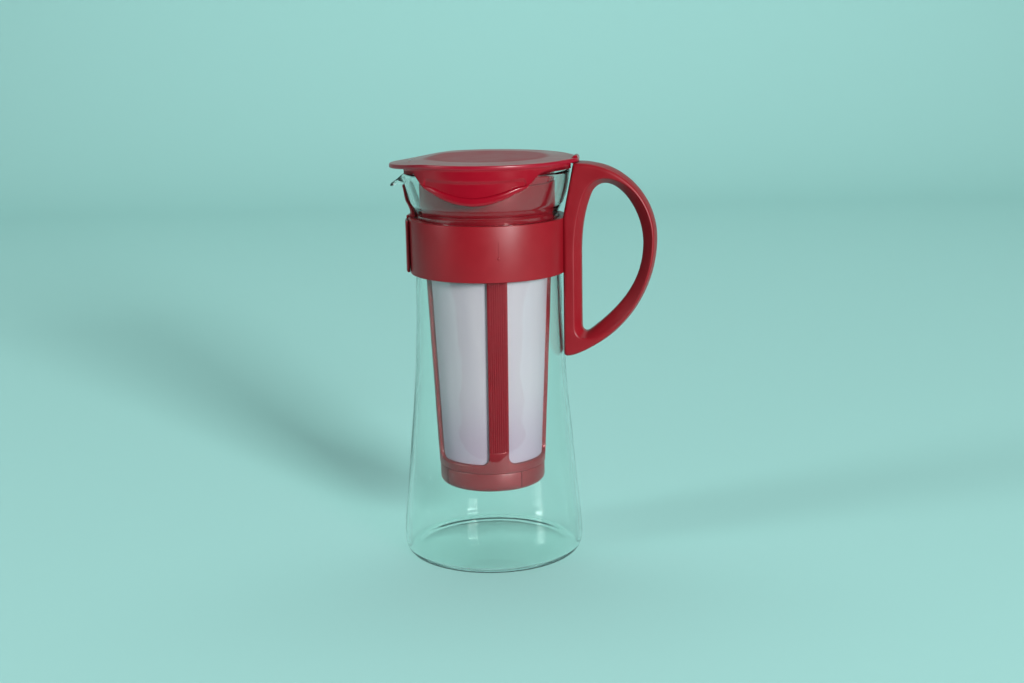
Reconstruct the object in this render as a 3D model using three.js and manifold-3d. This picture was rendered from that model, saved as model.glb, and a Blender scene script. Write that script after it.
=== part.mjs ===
// Cold brew coffee pot, filled by hand: a blown glass carafe with a pulled spout, a moulded handle
// whose band wraps round the neck, a hanging filter with mesh windows, and a lid that lifts off.
// Millimetres, +Z up. The origin is the centre of the carafe's flat base, the handle points along
// +X and the spout along -X.

import * as THREE from 'three';
import { mergeVertices } from 'three/addons/utils/BufferGeometryUtils.js';
import Module from 'manifold-3d';

const wasm = await Module();
wasm.setup();

const DEG = Math.PI / 180;
const TURN = 2 * Math.PI;

// Fits shared by all pieces
const clearance = 0.3;
const overrun = 1;
const farOut = 95;
const nearAxis = 6;
const sameSpot = 0.003;
const ringSteps = 48;
const cornerSteps = 3;

// Carafe
const carafeHeight = 201.5;
const baseRadius = 47.5;
const waistInset = 10.9;
const rimInset = 4.9;
const neckHeight = 23.5;
const glassWall = 2.2;
const floorThickness = 3;
const floorRound = 2.5;
const heelHeight = 7.6;
const heelRadius = 4;
const spoutLength = 7.4;
const spoutDip = 9.4;
const spoutDepth = 11.5;
const spoutOutPower = 3;
const spoutDownPower = 2.8;
const spoutHalfAngle = 11 * DEG;
const spoutSpread = 30 * DEG;
const spoutSteps = 12;
const lipSteps = 4;
const bodySteps = 36;
const profileSteps = 9;
const waistRadius = baseRadius - waistInset;
const rimRadius = baseRadius - rimInset;
const waistHeight = carafeHeight - neckHeight;
const spoutReach = rimRadius + spoutLength;
const spoutRoot = carafeHeight - spoutDepth;

// Lid
const lidLift = 6.1;
const lidRimThickness = 2.2;
const lidEdgeRound = 1.2;
const lidPanelInset = 13.6;
const lidPanelRise = 1.1;
const lidThickness = 2;
const noseOverhang = 5.4;
const noseDroop = 2.4;
const noseDroopLength = 28;
const rearOverhang = 4.8;
const rearChordOverhang = 2.5;
const nubHeight = 1.3;
const nubLength = 2.6;
const nubWidth = 8.6;
const nubInset = 0.2;
const plugGap = 0.4;
const plugWall = 1.5;
const plugDepth = 7;
const skirtThickness = 1.4;
const skirtInset = 0.5;
const skirtDepth = 19.4;
const skirtHalfAngle = 50 * DEG;
const skirtStep = 2.5 * DEG;
const lipHalfAngle = 37.5 * DEG;
const lipFadePower = 4;
const lipEndShare = 0.15;
const lipHeight = 4.1;
const lipReach = 0.8;
const lipDrop = 0.4;
const recessMargin = 8.4;
const recessHalfAngle = 32.5 * DEG;
const recessDepth = 0.6;
const recessArch = 1;
const guardHalfAngle = 9 * DEG;
const guardThickness = 1.4;
const guardDrop = 3.6;
const lidRimTop = carafeHeight + lidLift;
const lidUnder = lidRimTop - lidRimThickness;
const lidRadius = rimRadius + clearance + skirtThickness + skirtInset;
const lidPanelRadius = lidRadius - lidPanelInset;
const lidNoseReach = lidRadius + noseOverhang;
const lidRearReach = lidRadius + rearOverhang;
const lidRearChord = lidRadius + rearChordOverhang;
const skirtBottom = lidRimTop - skirtDepth;
const recessTop = lidRimTop - recessMargin;

// Neck band, part of the handle's moulding
const bandDrop = 28.6;
const bandHeight = 28.2;
const bandWall = 4;
const bandDraft = 0.2;
const bandBottom = waistHeight - bandDrop;
const bandTop = bandBottom + bandHeight;
const bandRadius = waistRadius + bandWall;

// Handle
const handleWidth = 16;
const handleSpan = 44.9;
const loopHeightShare = 0.487;
const widestShare = 0.6116;
const topArcShare = 0.163;
const lowerArcShare = 0.405;
const lowerArcHeightShare = 0.6504;
const lowerArcEnd = -62 * DEG;
const postTopGap = 2.8;
const innerEdgeWidth = 4.6;
const handleEdgeRound = 0.5;
const handleCrown = 0.9;
const handleFootRound = 1;
const crownRun = 16;
const handleArcSteps = 12;
const curveSteps = 5;
const handleReach = bandRadius + handleSpan;
const handleTop = lidUnder - clearance - handleEdgeRound;
const loopHeight = carafeHeight * loopHeightShare;
const handleFoot = handleTop - loopHeight;

// Clasp at the spout side
const claspPlateThickness = 1.4;
const claspHalfAngle = 21 * DEG;
const claspMargin = 0.9;
const claspWebHalfAngle = 5 * DEG;
const claspFlangeHalfAngle = 10 * DEG;
const claspFlangeThickness = 1.1;
const tongueDrop = 7.7;
const tongueTaperShare = 0.45;
const tongueTaperPower = 3;
const tongueLevels = 7;
const tongueSteps = 4;
const tongueTopThickness = 1.3;
const tongueRootThickness = 3.3;
const tongueTop = carafeHeight - tongueDrop;

// Filter
const seatOverlap = 0.3;
const seatLift = 3;
const cupRimDrop = 5.5;
const cupWall = 1.5;
const filterTaper = 6.8;
const filterBottom = 37.5;
const capHeight = 10;
const frameWall = 2.2;
const ribCount = 4;
const ribWidth = 10.3;
const filterTurn = 16.5 * DEG;
const windowBottomMargin = 4.7;
const windowTopMargin = 15;
const windowCorner = 4.5;
const meshThickness = 0.6;
const meshSetBack = 1.5;
const cupRadius = waistRadius - glassWall + seatOverlap;
const cupBottom = waistHeight + seatLift;
const cupTop = carafeHeight - cupRimDrop;
const filterLowRadius = cupRadius - filterTaper;
const jointHeight = filterBottom + capHeight;
const windowBottom = jointHeight + windowBottomMargin;
const windowTop = cupBottom - windowTopMargin;

// Bayonet cap of the filter
const capWall = 1.6;
const capRound = 2.6;
const capMarkWidth = 0.9;
const capMarkDepth = 0.35;
const capTurn = 25 * DEG;
const spigotDepth = 6;
const spigotWall = 1.5;
const lugReach = 0.9;
const lugHeight = 1.8;
const lugHalfAngle = 7 * DEG;
const lugCount = 2;
const bayonetSweep = 25 * DEG;

const red = { color: 0xa81420, roughness: 0.42, metalness: 0 };
const glassLook = { color: 0xe4f2ef, roughness: 0.03, metalness: 0, transparent: true, opacity: 0.35 };
const meshLook = { color: 0xd9d4e4, roughness: 0.8, metalness: 0 };

// Closed shapes

function outwardSolid(points, triangles) {
  const volume = triangles.reduce((sum, [a, b, c]) => {
    const normal = new THREE.Vector3().crossVectors(points[b], points[c]);
    return sum + points[a].dot(normal);
  }, 0);
  const turned = volume < 0 ? triangles.map(([a, b, c]) => [a, c, b]) : triangles;
  const geometry = new THREE.BufferGeometry().setFromPoints(points);
  geometry.setIndex(turned.flat());
  const merged = mergeVertices(geometry);
  const mesh = new wasm.Mesh({
    numProp: 3,
    vertProperties: new Float32Array(merged.attributes.position.array),
    triVerts: new Uint32Array(merged.index.array),
  });
  return new wasm.Manifold(mesh);
}

function geometryOf(solid) {
  const mesh = solid.getMesh();
  const geometry = new THREE.BufferGeometry();
  geometry.setAttribute('position', new THREE.BufferAttribute(new Float32Array(mesh.vertProperties), 3));
  geometry.setIndex(new THREE.BufferAttribute(new Uint32Array(mesh.triVerts), 1));
  return geometry;
}

// Skin over a stack of rings. A ring with one point closes the skin there; without such ends the
// last ring joins the first.
function ringSolid(rings) {
  const points = rings.flat();
  const starts = rings.map((_, i) => rings.slice(0, i).reduce((n, ring) => n + ring.length, 0));
  const triangles = [];
  const join = (i, j) => {
    const count = Math.max(rings[i].length, rings[j].length);
    for (let k = 0; k < count; k++) {
      const next = (k + 1) % count;
      const at = (ring, n) => starts[ring] + (rings[ring].length === 1 ? 0 : n);
      if (rings[i].length > 1) triangles.push([at(i, k), at(i, next), at(j, k)]);
      if (rings[j].length > 1) triangles.push([at(i, next), at(j, next), at(j, k)]);
    }
  };
  for (let i = 0; i + 1 < rings.length; i++) join(i, i + 1);
  if (rings[0].length > 1) join(rings.length - 1, 0);
  return outwardSolid(points, triangles);
}

const earCaps = (outline) => THREE.ShapeUtils.triangulateShape(outline, []);

// Caps for an outline of two facing rows: one row forward, the other back.
function rowCaps(outline) {
  const last = outline.length - 1;
  const triangles = [];
  for (let k = 0; k < last - k - 1; k++) {
    triangles.push([k, k + 1, last - k - 1], [k, last - k - 1, last - k]);
  }
  return triangles;
}

// Loft through layers that share one outline order. Each layer is { outline, place }.
function loft(layers, caps = earCaps) {
  const count = layers[0].outline.length;
  const points = layers.flatMap(({ outline, place }) => outline.map(place));
  const triangles = [];
  for (let layer = 0; layer + 1 < layers.length; layer++) {
    for (let k = 0; k < count; k++) {
      const next = (k + 1) % count;
      const low = layer * count;
      const high = low + count;
      triangles.push([low + k, low + next, high + k], [low + next, high + next, high + k]);
    }
  }
  const last = (layers.length - 1) * count;
  for (const [a, b, c] of caps(layers[0].outline)) triangles.push([c, b, a]);
  for (const [a, b, c] of caps(layers.at(-1).outline)) triangles.push([last + a, last + b, last + c]);
  return outwardSolid(points, triangles);
}

function outlineOf(path, steps) {
  const points = path.getPoints(steps);
  if (points[0].distanceTo(points.at(-1)) < sameSpot) points.pop();
  return THREE.ShapeUtils.isClockWise(points) ? points.reverse() : points;
}

const polar = (radius, angle, height) =>
  new THREE.Vector3(radius * Math.cos(angle), radius * Math.sin(angle), height);

// Solid of revolution. The profile holds [radius, height] pairs; it closes on the axis or on itself.
function revolved(profile, steps) {
  const rings = profile.map(([radius, height]) => (radius === 0
    ? [new THREE.Vector3(0, 0, height)]
    : Array.from({ length: steps }, (_, k) => polar(radius, (k * TURN) / steps, height))));
  return ringSolid(rings);
}

// Wedge with an outline in angle and height, cut through from one radius to another.
function wedge(outline, middle, innerRadius, outerRadius, caps = earCaps) {
  const at = (radius) => (point) => polar(radius, middle + point.x, point.y);
  return loft([{ outline, place: at(innerRadius) }, { outline, place: at(outerRadius) }], caps);
}

function box(halfAngle, low, high) {
  return [
    new THREE.Vector2(-halfAngle, low),
    new THREE.Vector2(halfAngle, low),
    new THREE.Vector2(halfAngle, high),
    new THREE.Vector2(-halfAngle, high),
  ];
}

// Rounded window in angle and height; the corner is round at the radius where it is cut.
function roundedWindow(halfAngle, low, high, corner, radius) {
  const across = corner / radius;
  const shape = new THREE.Shape();
  shape.moveTo(-halfAngle + across, low);
  shape.lineTo(halfAngle - across, low);
  shape.quadraticCurveTo(halfAngle, low, halfAngle, low + corner);
  shape.lineTo(halfAngle, high - corner);
  shape.quadraticCurveTo(halfAngle, high, halfAngle - across, high);
  shape.lineTo(-halfAngle + across, high);
  shape.quadraticCurveTo(-halfAngle, high, -halfAngle, high - corner);
  shape.lineTo(-halfAngle, low + corner);
  shape.quadraticCurveTo(-halfAngle, low, -halfAngle + across, low);
  return outlineOf(shape, cornerSteps);
}

const smooth = (from, to, value) => THREE.MathUtils.smoothstep(value, from, to);

// Carafe: the outer wall's radius at a height, from hand-chosen shares of the named radii.
const bodyShares = [[0, 1], [0.13, 0.82], [0.27, 0.62], [0.42, 0.39], [0.6, 0.205], [0.8, 0.1], [1, 0]];
const heelShares = [0.25, 0.62];
const shoulderShares = [[0, 0], [0.13, 0.07], [0.24, 0.3], [0.37, 0.55], [0.55, 0.74], [0.76, 0.88], [1, 1]];
const rimRound = glassWall / 2;
const rimStart = carafeHeight - rimRound;

const shareAt = (shares, value) => {
  const upper = shares.findIndex(([at]) => at >= value);
  const after = shares[Math.max(upper, 1)];
  const before = shares[Math.max(upper, 1) - 1];
  return THREE.MathUtils.mapLinear(value, before[0], after[0], before[1], after[1]);
};

function glassRadius(height) {
  if (height < waistHeight) {
    const share = shareAt(bodyShares, Math.max(0, height - heelHeight) / (waistHeight - heelHeight));
    return waistRadius + (baseRadius - waistRadius) * share;
  }
  const share = shareAt(shoulderShares, Math.min(1, (height - waistHeight) / (rimStart - waistHeight)));
  return waistRadius + (rimRadius - waistRadius) * share;
}

// The spout pulls the wall out near the rim and curls it down, most at its middle. The wall keeps
// its thickness, square to the curled outer surface.
const spoutRise = (height) => Math.max(0, (height - spoutRoot) / (carafeHeight - spoutRoot));
const spoutOut = (height) => (spoutReach - rimRadius) * spoutRise(height) ** spoutOutPower;
const spoutDown = (height) => spoutDip * spoutRise(height) ** spoutDownPower;

function spoutPoint(radius, angle, height) {
  const offSpout = Math.atan2(Math.sin(angle - Math.PI), Math.cos(angle - Math.PI));
  const pull = Math.exp(-((offSpout / spoutHalfAngle) ** 2));
  const rise = spoutRise(height);
  const outSlope = (spoutLength * spoutOutPower * rise ** (spoutOutPower - 1)) / spoutDepth;
  const upSlope = 1 - (spoutDip * spoutDownPower * rise ** (spoutDownPower - 1)) / spoutDepth;
  const slope = Math.hypot(outSlope, upSlope);
  const depth = glassRadius(height) - radius;
  const out = spoutOut(height) + depth * (1 - upSlope / slope);
  const down = spoutDown(height) - (depth * outSlope) / slope;
  return polar(radius + pull * out, angle, height - pull * down);
}

// The outer wall's radius at a height under the middle of the spout.
function spoutWall(height) {
  const pulledFrom = height + spoutDown(height + spoutDown(height));
  return glassRadius(pulledFrom) + spoutOut(pulledFrom);
}

function carafe() {
  const angles = [];
  for (let k = 0; k < spoutSteps; k++) {
    angles.push(Math.PI - spoutSpread + (2 * spoutSpread * k) / spoutSteps);
  }
  for (let k = 0; k < bodySteps; k++) {
    angles.push(Math.PI + spoutSpread + ((TURN - 2 * spoutSpread) * k) / bodySteps);
  }
  const heights = [];
  for (let k = 0; k <= profileSteps; k++) {
    heights.push(THREE.MathUtils.lerp(heelHeight, waistHeight, k / profileSteps));
  }
  const shoulder = shoulderShares.slice(1).map(([at]) => THREE.MathUtils.lerp(waistHeight, rimStart, at));
  heights.push(...shoulder.slice(0, -1));
  for (let k = 1; k <= lipSteps; k++) {
    heights.push(THREE.MathUtils.lerp(shoulder.at(-2), rimStart, k / lipSteps));
  }
  const outer = heights.map((height) => [glassRadius(height), height]);
  const inner = heights.toReversed().map((height) => [glassRadius(height) - glassWall, height]);
  const heel = heelShares.map((share) => [
    baseRadius - heelRadius * (1 - Math.sin((share * Math.PI) / 2)),
    heelHeight * (1 - Math.cos((share * Math.PI) / 2)),
  ]);
  const innerFloor = baseRadius - glassWall - floorRound;
  const profile = [
    [0, 0],
    [baseRadius - heelRadius, 0],
    ...heel,
    ...outer,
    [rimRadius - rimRound * (1 - Math.SQRT1_2), rimStart + rimRound * Math.SQRT1_2],
    [rimRadius - rimRound, carafeHeight],
    [rimRadius - glassWall + rimRound * (1 - Math.SQRT1_2), rimStart + rimRound * Math.SQRT1_2],
    ...inner,
    [innerFloor, floorThickness],
    [0, floorThickness],
  ];
  const rings = profile.map(([radius, height]) => (radius === 0
    ? [new THREE.Vector3(0, 0, height)]
    : angles.map((angle) => spoutPoint(radius, angle, height))));
  return ringSolid(rings);
}

// Handle: the loop's outlines lie in X and Z. Shares are of its length and height.
const postX = bandRadius - handleEdgeRound;
const gripX = (share) => THREE.MathUtils.lerp(postX, handleReach, share);
const gripZ = (share) => THREE.MathUtils.lerp(handleFoot, handleTop, share);
const handleCentre = gripX(topArcShare);
const handleWidest = gripZ(widestShare);

// Each row ends one curve of the finger hole: two control points and its end.
const holeEdgeShares = [
  [0.185, 0.668, 0.227, 0.759, 0.294, 0.839],
  [0.331, 0.882, 0.401, 0.898, 0.458, 0.898],
  [0.641, 0.898, 0.876, 0.749, 0.876, 0.591],
  [0.876, 0.372, 0.582, 0.235, 0.277, 0.126],
  [0.233, 0.111, 0.185, 0.119, 0.185, 0.153],
];
const bevelEdgeShares = [
  [0.109, 0.658, 0.153, 0.765, 0.222, 0.848],
  [0.27, 0.898, 0.349, 0.929, 0.458, 0.929],
  [0.728, 0.929, 0.983, 0.79, 0.983, 0.612],
  [0.983, 0.362, 0.684, 0.156, 0.368, 0.101],
  [0.238, 0.079, 0.109, 0.079, 0.109, 0.153],
];
const holeStraightShare = 0.525;

// Half a section of the loop: the share of its half width, of the edge round and of the crown.
const sectionShares = [[1, 0, 0], [0.92, 0.7, 0.3], [0.66, 1, 0.75], [0, 1, 1]];

function holeOutline(shares) {
  const path = new THREE.Shape();
  path.moveTo(gripX(shares.at(-1)[4]), gripZ(holeStraightShare));
  for (const [ax, az, bx, bz, x, z] of shares) {
    path.bezierCurveTo(gripX(ax), gripZ(az), gripX(bx), gripZ(bz), gripX(x), gripZ(z));
  }
  return outlineOf(path, curveSteps);
}

function handleOutline() {
  const lowerCentre = gripX(-lowerArcShare);
  const lowerWidth = handleReach - lowerCentre;
  const lowerHeight = loopHeight * lowerArcHeightShare;
  const footX = lowerCentre + lowerWidth * Math.cos(lowerArcEnd);
  const footZ = handleWidest + lowerHeight * Math.sin(lowerArcEnd);
  const footRun = ((footZ - handleFoot) * lowerWidth * Math.tan(lowerArcEnd)) / lowerHeight;
  const path = new THREE.Shape();
  path.moveTo(rimRadius + postTopGap, handleTop);
  path.absellipse(handleCentre, handleWidest, handleReach - handleCentre, handleTop - handleWidest,
    Math.PI / 2, 0, true);
  path.absellipse(lowerCentre, handleWidest, lowerWidth, lowerHeight, 0, lowerArcEnd, true);
  path.quadraticCurveTo(footX + footRun, handleFoot, postX + handleFootRound, handleFoot);
  path.lineTo(postX, handleFoot + handleFootRound);
  path.lineTo(postX, bandTop);
  return outlineOf(path, handleArcSteps);
}

// The outline moved outward by an amount that each point sets.
function moved(outline, amount) {
  return outline.map((point, k) => {
    const before = outline[(k + outline.length - 1) % outline.length];
    const after = outline[(k + 1) % outline.length];
    const along = new THREE.Vector2().subVectors(after, before).normalize();
    return new THREE.Vector2(point.x + along.y * amount(point), point.y - along.x * amount(point));
  });
}

function handleLoop() {
  const outline = handleOutline();
  const half = handleWidth / 2;
  const grip = (point) => smooth(handleCentre, handleCentre + crownRun, point.x);
  const layers = [];
  for (const side of [-1, 1]) {
    const ordered = side < 0 ? sectionShares : sectionShares.slice(0, -1).reverse();
    for (const [share, round, crown] of ordered) {
      const outerLine = moved(outline, (p) => handleEdgeRound * round + handleCrown * crown * grip(p));
      layers.push({ outline: outerLine, place: (p) => new THREE.Vector3(p.x, side * half * share, p.y) });
    }
  }
  const hole = holeOutline(holeEdgeShares);
  const bevel = holeOutline(bevelEdgeShares);
  const slices = [
    [bevel, -half - overrun], [bevel, -half], [hole, -innerEdgeWidth / 2],
    [hole, innerEdgeWidth / 2], [bevel, half], [bevel, half + overrun],
  ];
  const slice = ([line, y]) => ({ outline: line, place: (p) => new THREE.Vector3(p.x, y, p.y) });
  const cut = loft(slices.map(slice));
  return loft(layers).subtract(cut);
}

const bandInner = (height) => glassRadius(height) + clearance;

function bandRing(outerRadius, draft, low, high, innerOf) {
  return revolved([
    [outerRadius - draft, low],
    [outerRadius, high],
    [innerOf(high), high],
    [innerOf((low + high) / 2), (low + high) / 2],
    [innerOf(low), low],
  ], ringSteps);
}

function handle() {
  const gapAngle = clearance / bandRadius;
  const ring = bandRing(bandRadius, bandDraft, bandBottom, bandTop, bandInner);
  const split = wedge(box(claspWebHalfAngle + gapAngle, bandBottom - overrun, bandTop + overrun),
    Math.PI, nearAxis, farOut);
  const pocketRadius = bandInner(bandBottom) + claspFlangeThickness + 2 * clearance;
  const pocket = bandRing(pocketRadius, 0, bandBottom - overrun, bandTop + overrun, () => nearAxis)
    .intersect(wedge(box(claspFlangeHalfAngle + gapAngle, bandBottom - 2 * overrun, bandTop + 2 * overrun),
      Math.PI, nearAxis / 2, farOut));
  return handleLoop().add(ring).subtract(split).subtract(pocket);
}

function tongue() {
  const rootHeight = bandTop + clearance;
  const layers = [];
  for (let k = 0; k <= tongueLevels; k++) {
    const share = k / tongueLevels;
    const height = THREE.MathUtils.lerp(rootHeight, tongueTop, share);
    const inner = spoutWall(height) + 2 * clearance;
    const thickness = THREE.MathUtils.lerp(tongueRootThickness, tongueTopThickness, Math.sqrt(share));
    const outer = inner + thickness;
    const half = claspFlangeHalfAngle * (1 - tongueTaperShare * share ** tongueTaperPower);
    const outline = [];
    const across = (n) => THREE.MathUtils.lerp(-half, half, n / tongueSteps);
    for (let n = 0; n <= tongueSteps; n++) outline.push(new THREE.Vector2(inner, across(n)));
    for (let n = tongueSteps; n >= 0; n--) outline.push(new THREE.Vector2(outer, across(n)));
    layers.push({ outline, place: (p) => polar(p.x, Math.PI + p.y, height) });
  }
  return loft(layers, rowCaps);
}

function frontClasp() {
  const low = bandBottom + claspMargin;
  const high = bandTop - claspMargin;
  const inside = () => bandRadius + clearance;
  const sector = (solid, halfAngle) => solid.intersect(
    wedge(box(halfAngle, bandBottom, bandTop + overrun), Math.PI, nearAxis, farOut));
  const plate = sector(bandRing(bandRadius + clearance + claspPlateThickness, bandDraft, low, high, inside),
    claspHalfAngle);
  const rootTop = bandTop + 2 * clearance;
  const webRing = bandRing(bandRadius + claspPlateThickness / 2, 0, low, high, bandInner);
  const web = sector(webRing, claspWebHalfAngle);
  const stemRing = bandRing(bandRadius - claspPlateThickness / 2, 0, low, rootTop, bandInner);
  const stem = sector(stemRing, claspWebHalfAngle);
  const flangeRadius = bandInner(bandBottom) + claspFlangeThickness;
  const flange = sector(bandRing(flangeRadius, 0, low, rootTop, bandInner), claspFlangeHalfAngle);
  return plate.add(web).add(stem).add(flange).add(tongue());
}

// Filter: a cone that tapers from the cup's step to the cap joint.
const frameTopRadius = waistRadius - glassWall - 2 * clearance;
const frameRadius = (height) =>
  THREE.MathUtils.mapLinear(height, jointHeight, cupBottom, filterLowRadius, frameTopRadius);
const windowMiddle = (windowBottom + windowTop) / 2;
const windowHalfAngle = (height) => Math.PI / ribCount - Math.asin(ribWidth / 2 / frameRadius(height));
const ribAngles = Array.from({ length: ribCount }, (_, k) => filterTurn + ((k - 1) * TURN) / ribCount);
const windowAngles = ribAngles.map((angle) => angle + Math.PI / ribCount);
const spigotRadius = filterLowRadius - capWall - 2 * clearance - lugReach;
const lugMiddle = jointHeight - spigotDepth + lugHeight;
const lugAngles = Array.from({ length: lugCount }, (_, k) => filterTurn + (k * TURN) / lugCount);

// A window's outline. Its ribs keep one width, so the window narrows downwards as the cone does.
function windowOutline(margin) {
  const middleRadius = frameRadius(windowMiddle);
  const half = windowHalfAngle(windowMiddle) - margin / middleRadius;
  const outline = roundedWindow(half, windowBottom + margin, windowTop - margin, windowCorner, middleRadius);
  const narrowed = (p) => (p.x * windowHalfAngle(p.y)) / windowHalfAngle(windowMiddle);
  return outline.map((p) => new THREE.Vector2(narrowed(p), p.y));
}

function filterFrame() {
  const shell = revolved([
    [cupRadius, cupTop],
    [cupRadius, cupBottom + clearance],
    [frameTopRadius, cupBottom - clearance],
    [filterLowRadius, jointHeight + clearance],
    [spigotRadius, jointHeight + clearance],
    [spigotRadius, jointHeight - spigotDepth],
    [spigotRadius - spigotWall, jointHeight - spigotDepth],
    [spigotRadius - spigotWall, jointHeight + frameWall],
    [filterLowRadius - frameWall, windowBottom - frameWall],
    [frameTopRadius - frameWall, cupBottom - 2 * frameWall],
    [cupRadius - cupWall, cupBottom + frameWall],
    [cupRadius - cupWall, cupTop],
  ], ringSteps);
  let frame = shell;
  for (const angle of windowAngles) frame = frame.subtract(wedge(windowOutline(0), angle, nearAxis, farOut));
  for (const angle of lugAngles) {
    const lug = revolved([
      [spigotRadius - spigotWall / 2, lugMiddle - lugHeight / 2],
      [spigotRadius + lugReach, lugMiddle - lugHeight / 2],
      [spigotRadius + lugReach, lugMiddle + lugHeight / 2],
      [spigotRadius - spigotWall / 2, lugMiddle + lugHeight / 2],
    ], ringSteps);
    frame = frame.add(lug.intersect(
      wedge(box(lugHalfAngle, lugMiddle - lugHeight, lugMiddle + lugHeight), angle, nearAxis, farOut)));
  }
  return frame;
}

function meshPanel(angle) {
  const sheet = revolved([
    [frameRadius(windowTop) - meshSetBack, windowTop],
    [frameRadius(windowBottom) - meshSetBack, windowBottom],
    [frameRadius(windowBottom) - meshSetBack - meshThickness, windowBottom],
    [frameRadius(windowTop) - meshSetBack - meshThickness, windowTop],
  ], ringSteps);
  return sheet.intersect(wedge(windowOutline(clearance), angle, nearAxis, farOut));
}

function filterCap() {
  const top = jointHeight;
  const inner = filterLowRadius - capWall;
  const round = capRound * (1 - Math.SQRT1_2);
  let cap = revolved([
    [0, filterBottom],
    [filterLowRadius - capRound, filterBottom],
    [filterLowRadius - round, filterBottom + round],
    [filterLowRadius, filterBottom + capRound],
    [filterLowRadius, top],
    [spigotRadius + clearance, top],
    [spigotRadius + clearance, lugMiddle + lugHeight / 2 + clearance],
    [spigotRadius + lugReach + clearance, lugMiddle + lugHeight / 2 + clearance],
    [spigotRadius + lugReach + clearance, filterBottom + capWall],
    [0, filterBottom + capWall],
  ], ringSteps);
  for (const angle of lugAngles) {
    const entry = wedge(box(lugHalfAngle + clearance / spigotRadius, lugMiddle, top + overrun),
      angle + bayonetSweep, nearAxis, inner);
    cap = cap.subtract(entry);
  }
  for (let k = 0; k < ribCount; k++) {
    const mark = wedge(box(capMarkWidth / 2 / filterLowRadius, filterBottom + capRound, top + overrun),
      ribAngles[k] + capTurn, filterLowRadius - capMarkDepth, farOut);
    cap = cap.subtract(mark);
  }
  return cap;
}

// Lid: a disc whose outline is a circle drawn out to a nose over the spout and to a blunt rear end.
function lidEdge(angle) {
  const pointed = (reach, off) => {
    const shoulder = Math.acos(lidRadius / reach);
    return off < shoulder ? lidRadius / Math.cos(shoulder - off) : lidRadius;
  };
  const offRear = Math.abs(Math.atan2(Math.sin(angle), Math.cos(angle)));
  const offNose = Math.PI - offRear;
  const chord = lidRearChord / Math.max(Math.cos(offRear), Number.EPSILON);
  const rear = Math.min(pointed(lidRearReach, offRear), chord);
  return offNose < Math.PI / 2 ? pointed(lidNoseReach, offNose) : rear;
}

const droop = (x) => noseDroop * smooth(lidNoseReach - noseDroopLength, lidNoseReach, -x);
const lidSteps = 60;

// The rim's edge from its top to its side: shares of the edge round inward and downward.
const lidEdgeShares = [[1, 0], [0.55, 0.12], [0.2, 0.42], [0, 1]];
const lidUnderShare = 0.25;

function lidDisc() {
  const ring = (inset, height) => Array.from({ length: lidSteps }, (_, k) => {
    const angle = (k * TURN) / lidSteps;
    const point = polar(lidEdge(angle) - inset, angle, height);
    point.z -= droop(point.x);
    return point;
  });
  const circle = (radius, height) =>
    Array.from({ length: lidSteps }, (_, k) => polar(radius, (k * TURN) / lidSteps, height));
  const panelTop = lidRimTop + lidPanelRise;
  return ringSolid([
    [new THREE.Vector3(0, 0, panelTop)],
    circle(lidPanelRadius - lidPanelRise / 2, panelTop),
    circle(lidPanelRadius, lidRimTop + lidPanelRise / 2),
    ...lidEdgeShares.map(([inward, down]) => ring(inward * lidEdgeRound, lidRimTop - down * lidEdgeRound)),
    ring(lidUnderShare * lidEdgeRound, lidUnder),
    circle(lidPanelRadius, lidUnder),
    [new THREE.Vector3(0, 0, panelTop - lidThickness)],
  ]);
}

// The skirt's lower edge: a shallow smile that turns up to the rim at its ends.
const skirtEdgeShares = [
  [0, 0], [0.2, 0.052], [0.4, 0.178], [0.56, 0.33], [0.69, 0.45], [0.8, 0.64], [0.9, 0.82], [1, 1],
];
const skirtLow = (angle) => {
  const share = shareAt(skirtEdgeShares, Math.abs(angle) / skirtHalfAngle);
  return THREE.MathUtils.lerp(skirtBottom, lidUnder, share);
};
const lipLow = (angle) => skirtLow(angle) - lipDrop;
const lipTop = (angle) =>
  skirtLow(angle) + lipHeight * Math.max(lipEndShare, 1 - Math.abs(angle / lipHalfAngle) ** lipFadePower);

function smileOutline(halfAngle, lowOf, highOf) {
  const count = Math.round((2 * halfAngle) / skirtStep);
  const across = (k) => THREE.MathUtils.lerp(-halfAngle, halfAngle, k / count);
  const angles = Array.from({ length: count + 1 }, (_, k) => across(k));
  return [
    ...angles.map((angle) => new THREE.Vector2(angle, lowOf(angle))),
    ...angles.toReversed().map((angle) => new THREE.Vector2(angle, highOf(angle))),
  ];
}

function lidSkirt(middle) {
  const skirtTop = lidRimTop - lidRimThickness / 2;
  const outerRadius = lidRadius - skirtInset;
  const innerRadius = outerRadius - skirtThickness;
  const sheetOutline = smileOutline(skirtHalfAngle, skirtLow, () => skirtTop);
  const sheet = wedge(sheetOutline, middle, innerRadius, outerRadius, rowCaps);
  const lipRoot = (innerRadius + outerRadius - recessDepth) / 2;
  const lipOutline = smileOutline(lipHalfAngle, lipLow, lipTop);
  const lip = wedge(lipOutline, middle, lipRoot, outerRadius + lipReach, rowCaps);
  const recessHigh = (angle) => recessTop + recessArch * (angle / recessHalfAngle) ** 2;
  const recess = wedge(smileOutline(recessHalfAngle, (angle) => lipTop(angle) - overrun, recessHigh), middle,
    outerRadius - recessDepth, farOut, rowCaps);
  return sheet.subtract(recess).add(lip);
}

const lidSkirts = () => lidSkirt(Math.PI / 2).add(lidSkirt(-Math.PI / 2));

function lidPlug() {
  const seat = cupTop + clearance;
  const plugRadius = cupRadius - cupWall - plugGap;
  const top = lidUnder + lidThickness / 2;
  return revolved([
    [cupRadius - clearance, top],
    [cupRadius - clearance, seat],
    [plugRadius, seat],
    [plugRadius, seat - plugDepth],
    [plugRadius - plugWall, seat - plugDepth],
    [plugRadius - plugWall, top],
  ], ringSteps);
}

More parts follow.
